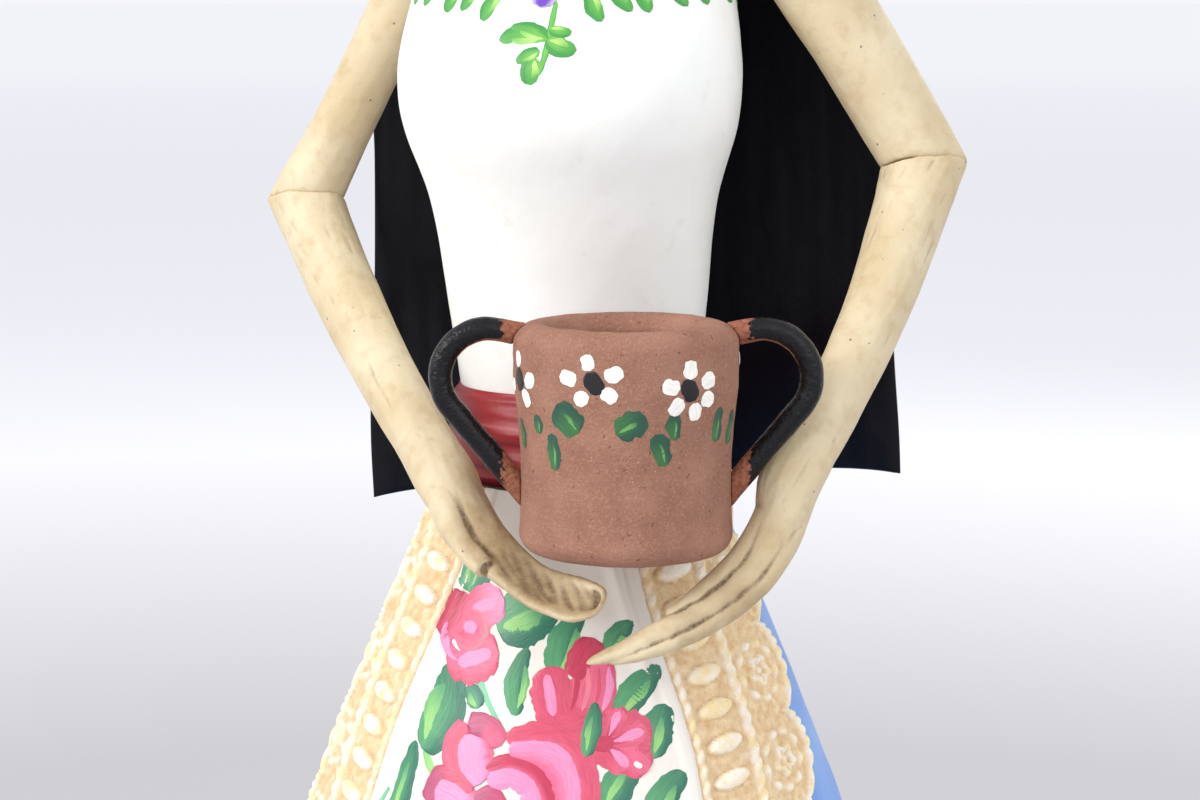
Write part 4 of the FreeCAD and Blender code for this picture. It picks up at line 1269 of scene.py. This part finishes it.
def paint_mug(body):
    """White five-petalled flowers with black hearts, over loose green leaves, all round the belly."""
    wall = Wrap([body], MUG_AXIS, 30)
    brush = Brush(wall.flat(MUG_TURN, MUG_RADIUS))
    foot = 141.5
    flowers = (((-17.0, 23.2), ((-4.4, 1.8), (-0.6, 2.6), (-2.6, -1.0), (2.8, 0.2), (1.8, -2.2))),
               ((-4.1, 23.8), ((-0.8, 2.6), (2.5, 1.2), (-3.4, 0.5), (-1.6, -2.0), (1.9, -1.5))),
               ((8.1, 22.7), ((0.1, 2.6), (3.0, 1.0), (3.0, -1.4), (1.0, -2.8), (-1.8, -2.0), (-2.6, 0.6))))
    leaves = ((-7.8, 19.1, 4.6, 4.2, 130), (-12.9, 17.9, 2.6, 1.7, 100), (-10.3, 14.6, 4.8, 2.1, 95),
              (0.5, 18.5, 4.4, 3.6, 30), (6.2, 18.2, 3.6, 2.2, 95), (4.4, 15.3, 4.4, 2.8, 110),
              (13.6, 17.8, 4.6, 2.2, 85), (17.6, 17.0, 4.6, 2.4, 80), (-17.6, 16.2, 4.0, 2.0, 100))
    for shift in (0.0, 44.8):
        for x, z, size, width, turn in leaves:
            lean = math.radians(turn)
            reach = np.array((math.cos(lean), math.sin(lean))) * size / 2
            middle = np.array((x + shift, z + foot))
            brush.stroke([middle - reach, middle, middle + reach], width, POT_GREEN, tip=POT_DARK,
                         right=POT_DARK,
                         shape="dab", tooth=0.1)
            brush.stroke([middle - reach * 0.8, middle + (0.2, 0), middle + reach * 0.4], width * 0.22,
                         POT_LIGHT,
                         tip=POT_GREEN, shape="leaf", tooth=0.2)
        for (x, z), petals in flowers:
            for dx, dz in petals:
                brush.dab((x + shift + dx, z + foot + dz), random.uniform(2.1, 2.6), WHITE,
                          turn=math.degrees(math.atan2(dz, dx)), squash=0.86, tooth=0.07)
            brush.dab((x + shift, z + foot), 3.2, INK, turn=125, squash=0.72, tooth=0.08)
    brush.finish("mug_flowers", "white_paint", "mug")


# ---------------------------------------------------------------- crown

def merged(name, pieces):
    """One object from several, with their painted colours."""
    made = make_object(name, *gathered([piece for piece, _ in pieces]))
    for piece, _ in pieces:
        bpy.data.objects.remove(piece)
    return mark(made, "paint", np.array([colour for _, colours in pieces for colour in colours]))


def petal(centre, out, side, up_turn, length, width, curl):
    """Curled paper petal standing round the axis out, with its colour from heart to rim."""
    rows, columns = 12, 11
    fore = (side * math.cos(up_turn) + out * math.sin(up_turn)).normalized()
    lid = fore.cross(out.cross(side)).normalized()
    across_way = out.cross(side).normalized()
    faces_in = lid if lid.dot(out) > 0 else -lid
    outer, inner, colours = [], [], []
    for row in range(rows):
        s = row / (rows - 1)
        spread = width * (0.35 + 0.65 * math.sin(math.pi * min(s, 0.98) ** 0.75) ** 0.7)
        line_out, line_in = [], []
        for column in range(columns):
            t = 2 * column / (columns - 1) - 1
            cup = 0.32 * width * t * t * (1 - 0.5 * s) - curl * s ** 3
            ruffle = 0.25 * math.sin(5 * t + 9 * up_turn) * s ** 2
            place = centre + (fore * (length * s) + across_way * (spread * t)
                              + faces_in * (cup + ruffle)) * MM
            line_out.append(place)
            line_in.append(place - faces_in * (0.22 * MM))
            colours.append(mix(mix(CRIMSON, ROSE, ease(s, 0.2, 0.9)), PALE_PINK, 0.55 * ease(s, 0.8, 1.0)))
        outer.append(line_out)
        inner.append(line_in)
    return shell_object("petal", outer, inner), colours * 2


def make_rose(number):
    """Paper rose of cut and curled petals in rings round a rolled heart."""
    name = f"rose_{number}"
    low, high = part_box(name)
    centre, crown = (low + high) / 2, Vector((0, 2.5, 268)) * MM
    out = (centre - crown).normalized()
    base = centre - out * 3.6 * MM
    first = out.cross(Vector((0, 1, 0))).normalized()
    second = out.cross(first)
    petals = []
    for count, tilt, length, width, curl in ((3, 84, 7.4, 1.9, 0.2), (4, 70, 7.6, 2.8, 0.8),
                                             (5, 48, 7.8, 3.3, 1.4),
                                             (6, 24, 7.6, 3.6, 1.8)):
        for step in range(count):
            turn = math.tau * (step + 0.35 * count + random.uniform(-0.1, 0.1)) / count
            side = first * math.cos(turn) + second * math.sin(turn)
            start = base + side * (1.4 if count > 3 else 0.7) * MM
            petals.append(petal(start, out, side, math.radians(tilt + random.uniform(-6, 6)), length, width,
                                curl))
    finish_piece(merged(f"paper_rose_{number}", petals), PETAL, replaced=(name,))


def make_leaf(number):
    """Cut paper leaf, folded along its vein, with a toothed rim."""
    name = f"leaf_{number}"
    low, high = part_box(name)
    centre, crown = (low + high) / 2, Vector((0, 9, 266)) * MM
    out = (centre - crown).normalized()
    back = (Vector((0, 1, 0)) - out * out.y).normalized()
    across_way = out.cross(back)
    rows, columns = 26, 15
    outer, inner, colours = [], [], []
    for row in range(rows):
        s = row / (rows - 1)
        half = 4.1 * math.sin(math.pi * min(max(s, 0.01), 0.99) ** 0.8) ** 0.8 + 0.15
        line_out, line_in = [], []
        for column in range(columns):
            t = 2 * column / (columns - 1) - 1
            tooth = 1 + 0.07 * math.sin(s * 46) * abs(t) ** 4
            rise = 0.9 * abs(t) ** 1.2 - 0.25 * math.exp(-(t / 0.12) ** 2) + 1.6 * s ** 2
            rise += 0.12 * math.sin(s * 30 - abs(t) * 8) * abs(t)
            place = centre + (out * (-6.4 + 13.6 * s) + across_way * (half * t * tooth)
                              + back * (rise - 1.2)) * MM
            line_out.append(place)
            line_in.append(place + back * (0.3 * MM))
            vein = math.exp(-(t / 0.1) ** 2)
            colours.append(mix(mix(LEAF_DARK, LEAF_MID, ease(s, 0.1, 0.9)), LEAF_LIGHT,
                               0.6 * vein + 0.2 * abs(t)))
        outer.append(line_out)
        inner.append(line_in)
    blade = merged(f"paper_leaf_{number}", [(shell_object("blade", outer, inner), colours * 2)])
    finish_piece(blade, LEAF, replaced=(name,))


def make_crown():
    for number in range(1, 6):
        make_rose(number)
    for number in range(1, 7):
        make_leaf(number)


# ---------------------------------------------------------------- hidden stock

def dress_stock():
    """Board, card, newspaper and wire inside the figure keep their solids."""
    card = stock_surface("core_card", paint(176, 152, 118), paint(150, 124, 92), 0.85, 4)
    paper = stock_surface("newspaper", paint(206, 200, 186), paint(120, 118, 112), 0.9, 2)
    wire = stock_surface("iron_wire", paint(126, 126, 130), paint(84, 84, 88), 0.4, 3, 1.0)
    looks = {"base_disc": (board_surface(), "plain_wood"), "skirt_core": (card, "core_card"),
             "torso_core": (paper, "newspaper"), "head_core": (paper, "newspaper"),
             "spine_wire": (wire, "armature_wire"), "arm_wire_left": (wire, "armature_wire"),
             "arm_wire_right": (wire, "armature_wire")}
    for name, (material, slot) in looks.items():
        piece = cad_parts[name]
        piece.data.materials.clear()
        piece.data.materials.append(material)


# ---------------------------------------------------------------- studio

def make_light(name, place, target, size, power, tint=(1, 1, 1)):
    lamp = bpy.data.lights.new(name, "AREA")
    lamp.size, lamp.energy, lamp.color = size, power, tint
    made = bpy.data.objects.new(name, lamp)
    made.location = place
    made.rotation_euler = (Vector(target) - Vector(place)).to_track_quat("-Z", "Y").to_euler()
    bpy.context.scene.collection.objects.link(made)


def make_studio():
    """Pale floor with painted shade, a little greyer round the figure, and painted light, paler far off where
    it meets the sky; a pale sky and three soft lights.
    """
    reach, drop = 300.0, -0.0002
    corners = [(x * reach, y * reach, drop) for x, y in ((-1, -1), (1, -1), (1, 1), (-1, 1))]
    floor = make_object("floor", corners, [(0, 1, 2, 3)])
    look = Surface("pale_floor", 0.8, 0.2)
    far = look.add("ShaderNodeVectorMath", operation="LENGTH")
    look.link(look.place, far.inputs[0])
    # Painted shade greys the floor near the figure; painted light pales it far away.
    near = look.blend(look.band(far.outputs["Value"], 0.4, 0.95), paint(184, 183, 185), paint(240, 240, 243))
    look.colour(look.blend(look.band(far.outputs["Value"], 3, 9), near, paint(250, 250, 252)))
    floor.data.materials.append(look.material)
    world = bpy.data.worlds.new("studio")
    bpy.context.scene.world = world
    world.use_nodes = True
    world.node_tree.nodes["Background"].inputs["Color"].default_value = (0.86, 0.865, 0.90, 1)
    world.node_tree.nodes["Background"].inputs["Strength"].default_value = 1.08
    middle = (0, 0, 0.15)
    make_light("key", (-0.75, -0.7, 0.7), middle, 0.45, 7.9, (1.0, 0.98, 0.95))
    make_light("fill", (0.7, -0.75, 0.6), middle, 0.6, 2.4)
    make_light("back", (0.2, 0.8, 0.7), middle, 0.6, 2)


def make_camera():
    """Close camera at the photograph's angle: waist and hands, from her left and a little above."""
    lens = bpy.data.cameras.new("photo")
    lens.lens, lens.sensor_width = 85, 36
    lens.clip_start = 0.01
    camera = bpy.data.objects.new("photo", lens)
    camera.location = (0.0926, -0.3886, 0.2125)
    aim = Vector((0.00264, 0.00122, 0.15624)) - camera.location
    camera.rotation_euler = aim.to_track_quat("-Z", "Y").to_euler()
    bpy.context.scene.collection.objects.link(camera)
    bpy.context.scene.camera = camera


bpy.context.scene.view_settings.view_transform = "Standard"
make_skirt()
apron = make_apron()
paint_apron(apron)
side_lace(-1)
side_lace(1)
foot_lace()
make_sash()
blouse = make_torso()
paint_blouse(blouse)
make_upper_arms()
make_hands()
make_head()
make_hair()
paint_mug(make_mug())
make_crown()
dress_stock()
make_studio()
make_camera()
